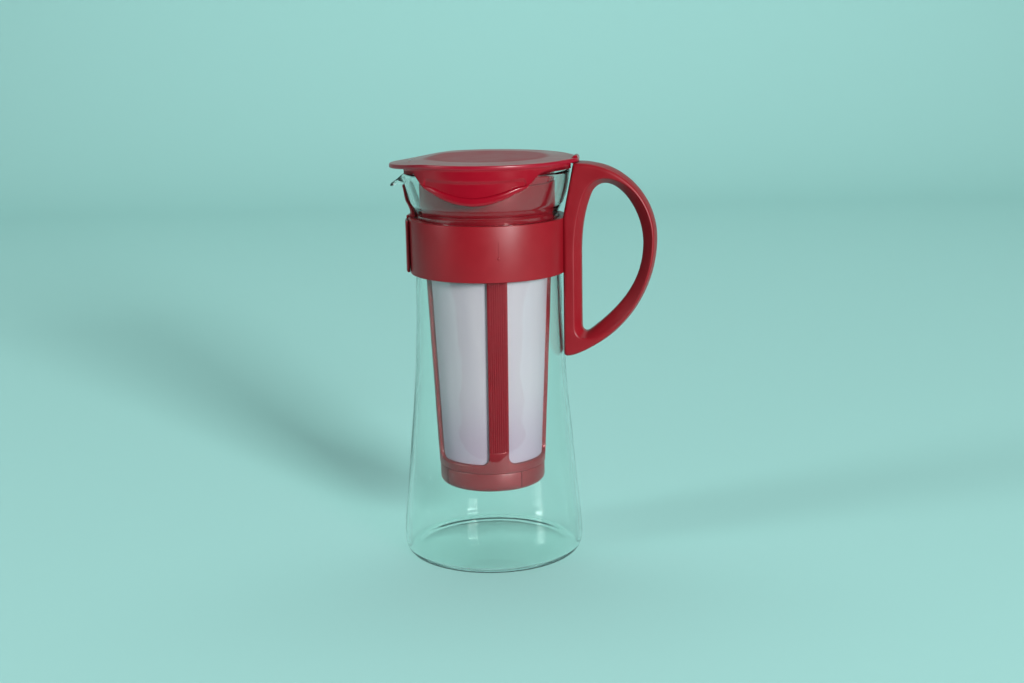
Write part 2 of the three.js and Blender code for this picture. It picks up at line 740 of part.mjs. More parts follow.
// The nub's side view: shares of its length inward from the rear chord and of its height.
const nubSideShares = [[-1.3, -0.9], [0, -0.9], [0, 0.8], [-0.3, 1], [-1, 0.2]];
const nubWidthShares = [[-0.5, 0.8], [-0.4, 1], [0.4, 1], [0.5, 0.8]];

function lidNub() {
  const layer = ([across, rise]) => ({
    outline: nubSideShares.map(([x, z]) => new THREE.Vector2(x, z)),
    place: (p) => new THREE.Vector3(lidRearChord - nubInset + p.x * nubLength, across * nubWidth,
      lidRimTop + p.y * nubHeight * rise),
  });
  return loft(nubWidthShares.map(layer));
}

function lidGuard() {
  const radius = rimRadius - glassWall - 2 * clearance;
  const ring = revolved([
    [radius, lidUnder - guardDrop], [radius, lidUnder + lidThickness / 2],
    [radius - guardThickness, lidUnder + lidThickness / 2], [radius - guardThickness, lidUnder - guardDrop],
  ], ringSteps);
  const span = box(guardHalfAngle, lidUnder - guardDrop - overrun, lidRimTop);
  const sector = wedge(span, Math.PI, nearAxis, farOut);
  return ring.intersect(sector);
}

function lid() {
  return lidDisc().add(lidSkirts()).add(lidPlug()).add(lidNub()).add(lidGuard());
}

// Assembly

const pot = new THREE.Group();

function place(name, solid, look) {
  const mesh = new THREE.Mesh(geometryOf(solid), new THREE.MeshStandardMaterial(look));
  mesh.name = name;
  pot.add(mesh);
}

place('carafe', carafe(), glassLook);
place('handle', handle(), red);
place('front_clasp', frontClasp(), red);
place('filter_frame', filterFrame(), red);
windowAngles.forEach((angle, k) => place(`mesh_panel_${k + 1}`, meshPanel(angle), meshLook));
place('filter_cap', filterCap(), red);
place('lid', lid(), red);

export default pot;
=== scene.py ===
"""Cold brew coffee pot: blown glass carafe, moulded red handle and neck band, hanging mesh filter
and a lift-off lid. The pot's lengths are in millimetres and turn into metres where a mesh is made.
The camera, the backdrop and the lamps are in metres."""

import math

import bmesh
import bpy
import numpy as np
from mathutils import Matrix, Vector


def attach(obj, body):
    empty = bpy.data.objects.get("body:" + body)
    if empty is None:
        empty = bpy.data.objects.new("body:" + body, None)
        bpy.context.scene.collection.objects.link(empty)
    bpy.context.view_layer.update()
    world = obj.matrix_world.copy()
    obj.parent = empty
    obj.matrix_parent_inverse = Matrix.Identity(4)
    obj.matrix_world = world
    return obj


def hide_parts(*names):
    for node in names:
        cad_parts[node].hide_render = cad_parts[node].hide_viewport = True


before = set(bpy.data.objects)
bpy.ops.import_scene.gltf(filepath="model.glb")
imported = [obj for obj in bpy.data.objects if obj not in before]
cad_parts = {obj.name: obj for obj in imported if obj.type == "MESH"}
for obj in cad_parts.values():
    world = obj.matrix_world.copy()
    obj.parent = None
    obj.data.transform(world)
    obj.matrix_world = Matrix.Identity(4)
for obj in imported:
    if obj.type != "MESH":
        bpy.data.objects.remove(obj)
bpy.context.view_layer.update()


# ---------------------------------------------------------------------------------------------
# View: a normal lens three quarters of a metre in front of the pot, a little above it and turned
# towards the spout's side of square.

photo_width = 1024
lens_pixels = 1510.3
sensor_width = 36.0
camera_distance = 0.7713
camera_height = 0.2816
view_turn = math.radians(9.5)
look_down = math.radians(12.46)
look_right = math.radians(0.846)
head_tilt = math.radians(1.024)

level_forward = Vector((math.sin(look_right), math.cos(look_right), 0))
level_right = Vector((math.cos(look_right), -math.sin(look_right), 0))
straight_up = Vector((0, 0, 1))
forward = math.cos(look_down) * level_forward - math.sin(look_down) * straight_up
upward = math.sin(look_down) * level_forward + math.cos(look_down) * straight_up
camera_right = math.cos(head_tilt) * level_right - math.sin(head_tilt) * upward
camera_up = math.sin(head_tilt) * level_right + math.cos(head_tilt) * upward
axes = Matrix((camera_right, camera_up, -forward)).transposed().to_4x4()
stand = Matrix.Translation((0, -camera_distance, camera_height))
lens = bpy.data.cameras.new("photograph_lens")
lens.sensor_width = sensor_width
lens.lens = lens_pixels * sensor_width / photo_width
lens.clip_start = 0.01
camera = bpy.data.objects.new("photograph_camera", lens)
bpy.context.collection.objects.link(camera)
camera.matrix_world = Matrix.Rotation(view_turn, 4, "Z") @ stand @ axes
bpy.context.scene.camera = camera


# ---------------------------------------------------------------------------------------------
# Backdrop and light: a seamless sweep of pale sea-green paper that starts half a metre in front of
# the pot, a soft lamp in front on the handle's side, a weaker upright one on the spout's side, a
# wide one overhead and one aimed at the backdrop. The colours aren't tone-mapped.

paper_front = -0.545
paper_back = 2.3
paper_curve = 0.9
paper_top = 2.6
paper_half_width = 4.0
paper_colour = "A6DBD6"
surround_colour = "C9D6D4"
surround_strength = 0.06
lamps = {
    "front_softbox": ((30, 16.5, 2.6), (0.6, 0.52), 98.0, (0.0, 0.1)),
    "side_softbox": ((-69, 24, 1.8), (0.34, 0.85), 11.0, (0.0, 0.1)),
    "top_softbox": ((172, 66, 2.3), (2.6, 1.8), 9.5, (0.0, 0.1)),
    "backdrop_softbox": ((180, 66, 2.1), (3.2, 1.0), 14.0, (1.8, 0.3)),
}
bpy.context.scene.view_settings.view_transform = "Standard"


def linear(hex_colour):
    """A colour written in sRGB hex, as Blender's linear red, green, blue and alpha."""
    parts = [int(hex_colour[k:k + 2], 16) / 255 for k in (0, 2, 4)]
    return [c / 12.92 if c <= 0.04045 else ((c + 0.055) / 1.055) ** 2.4 for c in parts] + [1.0]


def node(tree, kind, inputs=(), **attributes):
    """Adds a node, sets its attributes, and sets each input to a value or links it to a socket.
    Another node stands for the first output that it has in use."""
    made = tree.nodes.new(kind)
    for name, value in attributes.items():
        setattr(made, name, value)
    for name, value in dict(inputs).items():
        if isinstance(value, bpy.types.Node):
            value = next(socket for socket in value.outputs if socket.enabled)
        if isinstance(value, bpy.types.NodeSocket):
            tree.links.new(value, made.inputs[name])
        else:
            made.inputs[name].default_value = value
    return made


def new_material(name):
    material = bpy.data.materials.new(name)
    material.use_nodes = True
    material.node_tree.nodes.clear()
    return material, material.node_tree


paper, tree = new_material("matt_backdrop_paper")
# Uncoated paper: an even matt sea green with no sheen.
paper_surface = node(tree, "ShaderNodeBsdfPrincipled", {
    "Base Color": linear(paper_colour), "Roughness": 0.9, "Specular IOR Level": 0.2})
node(tree, "ShaderNodeOutputMaterial", {"Surface": paper_surface})

bend = [(paper_back - paper_curve * (1 - math.sin(t)), paper_curve * (1 - math.cos(t)))
        for t in np.linspace(0, math.pi / 2, 17)]
run = [(paper_front, 0.0), *bend, (paper_back, paper_top)]
sweep_points = [(x, y, z) for y, z in run for x in (-paper_half_width, paper_half_width)]
sweep_faces = [(2 * k, 2 * k + 1, 2 * k + 3, 2 * k + 2) for k in range(len(run) - 1)]
sweep_mesh = bpy.data.meshes.new("paper_sweep")
sweep_mesh.from_pydata(sweep_points, [], sweep_faces)
sweep_mesh.materials.append(paper)
sweep_mesh.shade_smooth()
paper_sweep = bpy.data.objects.new("paper_sweep", sweep_mesh)
bpy.context.collection.objects.link(paper_sweep)
paper_sweep.rotation_euler.z = view_turn

for name, ((bearing, lift, reach), size, power, (aim_back, aim_up)) in lamps.items():
    lamp = bpy.data.lights.new(name, "AREA")
    lamp.shape = "RECTANGLE"
    lamp.size, lamp.size_y = size
    lamp.energy = power
    holder = bpy.data.objects.new(name, lamp)
    bpy.context.collection.objects.link(holder)
    around, above = math.radians(bearing), math.radians(lift)
    away = Vector((math.sin(around) * math.cos(above), -math.cos(around) * math.cos(above), math.sin(above)))
    spot = away * reach
    facing = (spot - Vector((0, aim_back, aim_up))).to_track_quat("Z", "Y")
    holder.matrix_world = Matrix.Rotation(view_turn, 4, "Z") @ Matrix.LocRotScale(spot, facing, None)

world = bpy.data.worlds.new("surround")
bpy.context.scene.world = world
world.use_nodes = True
surround = world.node_tree.nodes["Background"]
surround.inputs["Color"].default_value = linear(surround_colour)
surround.inputs["Strength"].default_value = surround_strength


# ---------------------------------------------------------------------------------------------
# Carafe: borosilicate glass, blown in a mould, with a flame-polished rim and a spout pulled by
# hand. It stands on a ring round its slightly hollow base.

mm = 0.001
glass_height = 201.5
glass_wall = 2.2
floor_thickness = 2.5
base_radius = 47.45
rim_radius = 42.6
heel_height = 7.6
heel_radius = 4.0
floor_fillet = 1.5
spout_length = 7.3
spout_dip = 9.4
spout_root = 190.0
spout_out_power = 3.0
spout_down_power = 2.8
spout_half_angle = math.radians(11)
glass_columns = 312
base_hollow = [(0, 0.7), (30, 0.55), (38, 0.2), (41.5, 0)]
glass_line = [
    (47.45, 7.6), (47.36, 10.5), (47.12, 14.2), (46.75, 19), (45.6, 30), (44.5, 41), (43.45, 52.3),
    (42.45, 63.4), (40.95, 78.7), (39.7, 94), (38.85, 109.5), (38.2, 126), (37.7, 143.9), (37.05, 163),
    (36.6, 177.2), (36.85, 180.4), (38.1, 183.3), (39.7, 186), (41.0, 190.4), (41.95, 195), (42.6, 200.4),
]


def smooth_through(points, steps):
    """A smooth line through the points, with this many steps from each point to the next."""
    p = np.array([points[0], *points, points[-1]], float)
    line = []
    for k in range(1, len(p) - 2):
        for t in np.arange(steps) / steps:
            line.append(0.5 * (2 * p[k] + (p[k + 1] - p[k - 1]) * t
                               + (2 * p[k - 1] - 5 * p[k] + 4 * p[k + 1] - p[k + 2]) * t * t
                               + (3 * p[k] - p[k - 1] - 3 * p[k + 1] + p[k + 2]) * t ** 3))
    return np.array([*line, p[-2]])


def arc(r, z, wide, tall, start, end, count):
    """Points on an ellipse about (r, z), from one angle to another in degrees, 0 being outwards and
    90 straight up."""
    return [(r + wide * math.cos(t), z + tall * math.sin(t))
            for t in np.linspace(math.radians(start), math.radians(end), count)]


def skin(loops, closed=False):
    """Points and faces of a skin over loops of points; the ends are capped, or meet if closed."""
    count = len(loops[0])
    points = [tuple(p) for loop in loops for p in loop]
    faces = []
    for i in range(len(loops) if closed else len(loops) - 1):
        a, b = i * count, (i + 1) % len(loops) * count
        for k in range(count):
            n = (k + 1) % count
            faces.append((a + k, a + n, b + n, b + k))
    if not closed:
        faces.append(tuple(range(count))[::-1])
        faces.append(tuple(range(len(points) - count, len(points))))
    return points, faces


def swept(section_at, angles, closed=False):
    """Skin of a section of (radius, height) points carried round the axis."""
    return skin([[(r * math.cos(a), r * math.sin(a), z) for r, z in section_at(a)] for a in angles], closed)


def full_turn(count):
    return np.arange(count) * 2 * math.pi / count


def make_piece(name, shells, material, sharp):
    """One object from shells of points and faces, welded, facing out and shaded smooth, apart from
    edges that turn by more than this many degrees."""
    points, faces = [], []
    for shell_points, shell_faces in shells:
        faces += [tuple(i + len(points) for i in face) for face in shell_faces]
        points += shell_points
    mesh = bpy.data.meshes.new(name)
    mesh.from_pydata([(x * mm, y * mm, z * mm) for x, y, z in points], [], faces)
    work = bmesh.new()
    work.from_mesh(mesh)
    bmesh.ops.remove_doubles(work, verts=work.verts, dist=1e-6)
    bmesh.ops.dissolve_degenerate(work, dist=1e-7, edges=work.edges)
    bmesh.ops.recalc_face_normals(work, faces=work.faces)
    work.to_mesh(mesh)
    work.free()
    mesh.materials.append(material)
    mesh.shade_smooth()
    mesh.set_sharp_from_angle(angle=math.radians(sharp))
    piece = bpy.data.objects.new(name, mesh)
    bpy.context.collection.objects.link(piece)
    return piece


glass_path = smooth_through(glass_line, 7)


def glass_at(height):
    """The glass's outer radius at a height, away from the spout."""
    return float(np.interp(height, glass_path[:, 1], glass_path[:, 0]))


def spout_rise(height):
    return max(0.0, (height - spout_root) / (glass_height - spout_root))


def pulled(radius, angle, height):
    """A point of the glass after the spout has been pulled out and curled down, one wall thick."""
    off = math.atan2(math.sin(angle - math.pi), math.cos(angle - math.pi))
    pull = math.exp(-((off / spout_half_angle) ** 2))
    rise, depth = spout_rise(height), max(0.0, glass_at(height) - radius)
    if rise == 0 or depth > 2 * glass_wall:
        return radius, height
    rise_length = glass_height - spout_root
    out_slope = spout_length * spout_out_power * rise ** (spout_out_power - 1) / rise_length
    up_slope = 1 - spout_dip * spout_down_power * rise ** (spout_down_power - 1) / rise_length
    slope = math.hypot(out_slope, up_slope)
    out = spout_length * rise ** spout_out_power + depth * (1 - up_slope / slope)
    down = spout_dip * rise ** spout_down_power - depth * out_slope / slope
    return radius + pull * out, height - pull * down


def glass_profile():
    base = [*base_hollow, (base_radius - heel_radius, 0.02)]
    heel = arc(base_radius - heel_radius, heel_height, heel_radius, heel_height, -90, 0, 9)[1:-1]
    bead = glass_wall / 2
    rim = arc(rim_radius - bead, glass_height - bead, bead, bead, 0, 180, 13)[1:-1]
    inner = [(r - glass_wall, z) for r, z in glass_path[::-1]]
    fillet = arc(base_radius - glass_wall - floor_fillet, floor_thickness + floor_fillet,
                 floor_fillet, floor_fillet, 0, -90, 9)
    return [*base, *heel, *[tuple(p) for p in glass_path], *rim, *inner, *fillet, (0, floor_thickness)]


borosilicate, tree = new_material("borosilicate_glass_blown")
# Clear glass of refractive index 1.473. Mould-blown walls ripple by a few hundredths of a
# millimetre over about 25 mm, which bends the reflections without showing as texture.
place = node(tree, "ShaderNodeTexCoord")
ripple = node(tree, "ShaderNodeTexNoise", {"Vector": place.outputs["Object"], "Scale": 38.0, "Detail": 1.0})
wavy = node(tree, "ShaderNodeBump", {"Height": ripple, "Strength": 0.25, "Distance": 0.0006})
glass_shader = node(tree, "ShaderNodeBsdfPrincipled", {
    "Base Color": linear("F6FCFA"), "Roughness": 0.0, "IOR": 1.473, "Transmission Weight": 1.0,
    "Normal": wavy})
# Light on its way to the filter passes straight through, and only once.
lamp_light = node(tree, "ShaderNodeBsdfTransparent", {"Color": linear("FAFDFC")})
rays = node(tree, "ShaderNodeLightPath").outputs
bounced = node(tree, "ShaderNodeMixShader", {0: rays["Is Diffuse Ray"], 1: glass_shader, 2: lamp_light})
both = node(tree, "ShaderNodeMixShader", {0: rays["Is Shadow Ray"], 1: bounced, 2: lamp_light})
node(tree, "ShaderNodeOutputMaterial", {"Surface": both})

profile = glass_profile()
carafe = make_piece("carafe_glass", [
    swept(lambda a: [pulled(r, a, z) for r, z in profile], full_turn(glass_columns), closed=True),
], borosilicate, sharp=80)
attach(carafe, "pot")
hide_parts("carafe")


# ---------------------------------------------------------------------------------------------
# Handle: one injection moulding in red polypropylene. A D-shaped loop with a long bevel round the
# finger hole and a softly crowned grip rises from a straight post that stands against the neck.

band_top = 177.6
handle_half = 8.0
handle_reach = 85.5
handle_top = 204.6
handle_foot = 106.47
post_x = 40.1
toe_round = 1.0
post_corners = ((rim_radius + 2.8, handle_top), (post_x, handle_foot + toe_round), (post_x, band_top))
hole_middle = (64.0, 158.0)
crown = 0.9
crown_start, crown_full = 47.5, 63.5
edge_round = 0.5
face_round = 1.6
face_drop = 1.65
inner_edge_half = 2.3
ridge_width = 0.9
handle_columns = 360
hole_shares = [
    (0.185, 0.668, 0.227, 0.759, 0.294, 0.839), (0.331, 0.882, 0.401, 0.898, 0.458, 0.898),
    (0.641, 0.898, 0.876, 0.749, 0.876, 0.591), (0.876, 0.372, 0.582, 0.235, 0.277, 0.126),
    (0.233, 0.111, 0.185, 0.119, 0.185, 0.153),
]
bevel_shares = [
    (0.109, 0.658, 0.153, 0.765, 0.222, 0.848), (0.27, 0.898, 0.349, 0.929, 0.458, 0.929),
    (0.728, 0.929, 0.983, 0.79, 0.983, 0.612), (0.983, 0.362, 0.684, 0.156, 0.368, 0.101),
    (0.238, 0.079, 0.109, 0.079, 0.109, 0.153),
]
straight_share = 0.525
# The outer line is two ellipses that meet where the handle reaches furthest. These are their
# middles, that height and the lower one's depth, as shares of the handle's width and height, and
# the angle in degrees at which the lower one runs into the foot.
upper_middle_share = 0.163
lower_middle_share = -0.405
widest_share = 0.6116
lower_depth_share = 0.6504
lower_end = -62


def grip_point(share_x, share_z):
    return np.array((post_x + (handle_reach - post_x) * share_x,
                     handle_foot + (handle_top - handle_foot) * share_z))


def straight(start, end, step=0.8):
    count = max(1, int(np.hypot(*np.subtract(end, start)) / step))
    return [np.add(start, np.subtract(end, start) * k / count) for k in range(count)]


def hole_line(shares):
    line = straight(grip_point(shares[-1][4], shares[-1][5]), grip_point(shares[-1][4], straight_share))
    here = grip_point(shares[-1][4], straight_share)
    for ax, az, bx, bz, x, z in shares:
        a, b, end = grip_point(ax, az), grip_point(bx, bz), grip_point(x, z)
        for t in np.arange(48) / 48:
            line.append((1 - t) ** 3 * here + 3 * (1 - t) ** 2 * t * a + 3 * (1 - t) * t * t * b
                        + t ** 3 * end)
        here = end
    return np.array(line)


def outer_line():
    top_x, widest = grip_point(upper_middle_share, widest_share)
    low_x = grip_point(lower_middle_share, 0)[0]
    low_wide, low_high = handle_reach - low_x, lower_depth_share * (handle_top - handle_foot)
    lower = arc(low_x, widest, low_wide, low_high, 0, lower_end, 90)
    foot = np.array(lower[-1])
    run = (foot[1] - handle_foot) * low_wide * math.tan(math.radians(lower_end)) / low_high
    knee, toe = np.array((foot[0] + run, handle_foot)), np.array((post_x + toe_round, handle_foot))
    head, heel, step = post_corners
    upper = arc(top_x, widest, handle_reach - top_x, handle_top - widest, 90, 0, 90)
    line = [*straight(head, (top_x, handle_top)), *upper[:-1], *lower[:-1]]
    for t in np.linspace(0, 1, 16)[:-1]:
        line.append((1 - t) ** 2 * foot + 2 * (1 - t) * t * knee + t * t * toe)
    line += arc(post_x + toe_round, handle_foot + toe_round, toe_round, toe_round, -90, -180, 6)
    return np.array(line + straight(heel, step)[1:] + straight(step, head))


def seen_from(line, middle, angles):
    """Points where rays from the middle cross a line that goes once round it."""
    off = np.asarray(line) - middle
    bearing = np.arctan2(off[:, 1], off[:, 0])
    order = np.argsort(bearing)
    bearing, off = bearing[order], off[order]
    bearing = np.concatenate((bearing[-1:] - 2 * math.pi, bearing, bearing[:1] + 2 * math.pi))
    off = np.concatenate((off[-1:], off, off[:1]))
    x, z = np.interp(angles, bearing, off[:, 0]), np.interp(angles, bearing, off[:, 1])
    return np.stack((x, z), 1) + middle


def ease(low, high, value):
    """Rises softly from 0 at low to 1 at high."""
    share = min(1.0, max(0.0, (value - low) / (high - low)))
    return share * share * (3 - 2 * share)


def handle_shell():
    corner_bearings = [math.atan2(z - hole_middle[1], x - hole_middle[0]) for x, z in post_corners]
    angles = np.unique(np.concatenate((full_turn(handle_columns) - math.pi, corner_bearings)))
    hole, bevel, rim = [seen_from(line, hole_middle, angles)
                        for line in (hole_line(hole_shares), hole_line(bevel_shares), outer_line())]
    along = np.roll(rim, -1, 0) - np.roll(rim, 1, 0)
    normal = np.stack((along[:, 1], -along[:, 0]), 1)
    normal /= np.linalg.norm(normal, axis=1)[:, None]
    loops = []
    for h, b, o, n in zip(hole, bevel, rim, normal):
        grip = ease(crown_start, crown_full, o[0])
        width = np.linalg.norm(o - b)
        outward = (o - b) / width
        soft = min(face_round, 0.75 * width)
        half = [(h, 0.0), (h, 1.6), (h * 0.99 + b * 0.01, 2.05), (h * 0.95 + b * 0.05, 2.5)]
        for t in (0.12, 0.35, 0.62, 0.86, 0.94):
            half.append((h * (1 - t) + b * t, inner_edge_half + (handle_half - inner_edge_half) * t))
        ridge = min(ridge_width, 0.5 * (width - 0.6 * soft))
        half += [(b + outward * ridge * t, handle_half - drop)
                 for t, drop in ((0.05, 0.12), (0.4, 0.03), (1.0, 0.0))]
        half += [(b + outward * (ridge + (width - soft - ridge) * t), handle_half) for t in (0.4, 0.98)]
        for t in np.linspace(0.1, 1, 8) * math.pi / 2:
            half.append((o + outward * soft * (math.sin(t) - 1) + n * edge_round * math.sin(t),
                         handle_half - face_drop * (1 - math.cos(t))))
        for y in (5.4, 4.2, 2.9, 1.5, 0.0):
            rise = crown * grip * (1 - (y / (handle_half - face_drop)) ** 2)
            half.append((o + n * (edge_round + rise), y))
        loop = half + [(p, -y) for p, y in half[-2:0:-1]]
        loops.append([(p[0], y, p[1]) for p, y in loop])
    return skin(loops, closed=True)


def polypropylene(name, colour, roughness, lustre, grain, grain_depth, panel=None):
    """Red moulded polypropylene: a waxy, slightly mottled surface from a spark-eroded mould.
    Lustre is how much of a clean gloss is left under the waxy bloom. Grain is the width in
    millimetres of the mould's fine texture, and its depth is in millimetres.
    A panel is a matt round field about the axis, given by its radius and its own roughness."""
    material, tree = new_material(name)
    place = node(tree, "ShaderNodeTexCoord").outputs["Object"]
    mottle = node(tree, "ShaderNodeTexNoise", {
        "Vector": place, "Scale": 55.0, "Detail": 3.0, "Roughness": 0.6})
    tint = node(tree, "ShaderNodeMapRange", {
        "Value": mottle, "From Min": 0.3, "From Max": 0.7, "To Min": 0.93, "To Max": 1.05})
    shade = node(tree, "ShaderNodeVectorMath", {0: linear(colour)[:3], 1: tint}, operation="MULTIPLY")
    shine = node(tree, "ShaderNodeMapRange", {
        "Value": mottle, "From Min": 0.3, "From Max": 0.7,
        "To Min": roughness - 0.04, "To Max": roughness + 0.05})
    if panel:
        flat = node(tree, "ShaderNodeVectorMath", {0: place, 1: (1, 1, 0)}, operation="MULTIPLY")
        away = node(tree, "ShaderNodeVectorMath", {0: flat}, operation="LENGTH")
        field = node(tree, "ShaderNodeMapRange", {
            "Value": away, "From Min": (panel[0] + 3) * mm, "From Max": (panel[0] - 2) * mm,
            "To Min": 0.0, "To Max": panel[1] - roughness}, interpolation_type="SMOOTHSTEP")
        shine = node(tree, "ShaderNodeMath", {0: shine, 1: field}, operation="ADD")
    texture = node(tree, "ShaderNodeTexNoise", {"Vector": place, "Scale": 1 / (grain * mm), "Detail": 2.0})
    relief = node(tree, "ShaderNodeBump", {
        "Height": texture, "Strength": 1.0, "Distance": grain_depth * mm})
    surface = node(tree, "ShaderNodeBsdfPrincipled", {
        "Base Color": shade, "Roughness": shine, "IOR": 1.49, "Specular IOR Level": lustre,
        "Normal": relief})
    node(tree, "ShaderNodeOutputMaterial", {"Surface": surface})
    return material


satin_red = polypropylene("polypropylene_satin_red", "7E0917", 0.4, 0.38, 0.7, 0.012)
handle = make_piece("handle_loop", [handle_shell()], satin_red, sharp=50)
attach(handle, "pot")
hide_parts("handle")


# ---------------------------------------------------------------------------------------------
# Neck band: the arms of the handle's moulding, 28 mm tall, that wrap the glass neck and end at the
# clasp under the spout. A gate stub and a fine flash line stand where the plastic was injected.

band_radius = 40.6
band_bottom = 149.4
band_draft = 0.2
band_round = 0.45
band_gap = 0.3
band_opening = math.radians(5.45)
gate_bearing = math.radians(-73.4)
gate_height = 161.6
gate_stretch = 1.25
flash_width = 0.16
flash_low, flash_high = gate_height + 1.4, gate_height + 8.6


def band_section():
    low, high, soft = band_bottom, band_top, band_round
    inner = [(glass_at(z) + band_gap, z) for z in np.linspace(high - soft, low + soft, 9)]
    return [
        *arc(band_radius - band_draft - soft, low + soft, soft, soft, -90, 0, 5),
        *arc(band_radius - soft, high - soft, soft, soft, 0, 90, 5),
        (inner[0][0] + soft, high), *inner, (inner[-1][0] + soft, low),
    ]


def add_inputs(tree, sockets):
    """Names a tree's own inputs, each with its kind and value, and returns where they come out."""
    tree.interface.new_socket("Geometry", in_out="OUTPUT", socket_type="NodeSocketGeometry")
    tree.interface.new_socket("Geometry", in_out="INPUT", socket_type="NodeSocketGeometry")
    for name, (kind, value) in sockets.items():
        tree.interface.new_socket(name, in_out="INPUT", socket_type=f"NodeSocket{kind}").default_value = value
    return tree.nodes.new("NodeGroupInput").outputs


def end_tree(tree, geometry, material):
    whole = node(tree, "GeometryNodeRealizeInstances", {"Geometry": geometry})
    painted = node(tree, "GeometryNodeSetMaterial", {"Geometry": whole, "Material": material})
    node(tree, "NodeGroupOutput", {"Geometry": painted})


def grown(name, start, tree, values, sharp):
    """The plain mesh that a tree makes from a start mesh, with the inputs set to these values."""
    piece = bpy.data.objects.new(name, start)
    bpy.context.collection.objects.link(piece)
    grower = piece.modifiers.new("grower", "NODES")
    grower.node_group = tree
    for item in tree.interface.items_tree:
        if item.in_out == "INPUT" and item.name in values:
            grower[item.identifier] = values[item.name]
    shaped = bpy.data.meshes.new_from_object(piece.evaluated_get(bpy.context.evaluated_depsgraph_get()))
    piece.modifiers.clear()
    piece.data = shaped
    shaped.shade_smooth()
    shaped.set_sharp_from_angle(angle=math.radians(sharp))
    return piece


def drawn_line(name, points, closed):
    """A line of points drawn as the edges of a mesh, for a tree to start from."""
    line = bpy.data.meshes.new(name)
    count = len(points)
    line.from_pydata([(x * mm, y * mm, z * mm) for x, y, z in points],
                     [(k, (k + 1) % count) for k in range(count if closed else count - 1)], [])
    return line


# This tree bends a section round the pot's axis. The section is drawn flat, outwards along X and
# downwards along Y from the arc that carries it.
bent_section = bpy.data.node_groups.new("bent_section", "GeometryNodeTree")
asked = add_inputs(bent_section, {
    "Start": ("Float", 0.0), "Sweep": ("Float", 1.0), "Steps": ("Int", 64), "Radius": ("Float", 0.04)})
carrier = node(bent_section, "GeometryNodeCurveArc", {
    "Radius": asked["Radius"], "Start Angle": asked["Start"], "Sweep Angle": asked["Sweep"],
    "Resolution": asked["Steps"]})
outline = node(bent_section, "GeometryNodeMeshToCurve", {"Mesh": asked["Geometry"]})
bent = node(bent_section, "GeometryNodeCurveToMesh", {
    "Curve": carrier, "Profile Curve": outline, "Fill Caps": True})
end_tree(bent_section, bent, satin_red)


def gate_stub():
    """A low round stub on the band's face."""
    out = Vector((math.cos(gate_bearing), math.sin(gate_bearing), 0))
    side = Vector((-out.y, out.x, 0))
    rows = [(0.62, -0.4), (0.62, 0.1), (0.5, 0.24), (0.2, 0.3), (0.0, 0.3)]
    middle = out * (band_radius - 0.1) + Vector((0, 0, gate_height))
    stretched = straight_up * gate_stretch
    return skin([[middle + out * rise + reach * (side * math.cos(a) + stretched * math.sin(a))
                  for a in full_turn(20)] for reach, rise in rows])


def flash_line():
    """The hair-thin ridge above the stub."""
    half = flash_width / band_radius / 2
    section = [(band_radius - 0.4, flash_low), (band_radius + 0.03, flash_low),
               (band_radius + 0.06, flash_high), (band_radius - 0.4, flash_high)]
    return swept(lambda a: section, [gate_bearing - half, gate_bearing + half])


band_line = drawn_line("band_section", [(r - band_radius, -z, 0) for r, z in band_section()], True)
band = grown("neck_band", band_line, bent_section, {
    "Start": -math.pi + band_opening, "Sweep": 2 * (math.pi - band_opening), "Steps": 261,
    "Radius": band_radius * mm,
}, sharp=50)
gate_mark = make_piece("gate_mark", [gate_stub(), flash_line()], satin_red, sharp=50)
for piece in (band, gate_mark):
    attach(piece, "pot")
    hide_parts("handle")


# ---------------------------------------------------------------------------------------------
# Front clasp: a curved plate in the same polypropylene that clips over the two ends of the band.
# Its tongue stands up along the glass and steadies the spout.

clasp_low, clasp_high = 150.3, 176.7
clasp_inner = band_radius + 0.3
clasp_outer = clasp_inner + 1.4
clasp_half = math.radians(21)
web_half = math.radians(5)
flange_half = math.radians(10)
tongue_top = 193.8
tongue_gap = 0.6
tongue_root_thickness = 3.3
tongue_tip_thickness = 1.3
tongue_taper = 0.45
tongue_tip_start = 0.94
tip_narrowing = 0.25
tip_thinning = 0.35
tongue_edge_thinning = 0.45
clasp_soft = 0.45
flange_soft = 0.2


def rounded_block(inner, outer, low, high, soft):
    """A section with its four corners rounded."""
    left, right, under, over = inner + soft, outer - soft, low + soft, high - soft
    corners = [(right, under, -90), (right, over, 0), (left, over, 90), (left, under, 180)]
    return [p for r, z, start in corners for p in arc(r, z, soft, soft, start, start + 90, 4)]


def turned_block(inner, outer, low, high, soft, half, columns):
    """A curved block under the spout whose ends are rounded as well as its long edges."""
    end_turn = soft / outer
    near_end = [half - end_turn * s for s in (0.1, 0.35, 0.7)]
    angles = np.unique(np.concatenate((np.linspace(-half, half, columns), near_end, np.negative(near_end))))

    def section(angle):
        end = max(0.0, 1 - (half - abs(angle)) / end_turn)
        shrink = soft * (1 - math.sqrt(max(0.0, 1 - end * end)))
        return rounded_block(inner, outer - shrink, low + shrink, high - shrink, soft)

    points, faces = swept(section, angles)
    return [(-x, -y, z) for x, y, z in points], faces


def spout_wall(height):
    """The glass's outer radius straight under the spout."""
    lifted = height
    for _ in range(6):
        lifted = height + spout_dip * spout_rise(lifted) ** spout_down_power
    return glass_at(lifted) + spout_length * spout_rise(lifted) ** spout_out_power


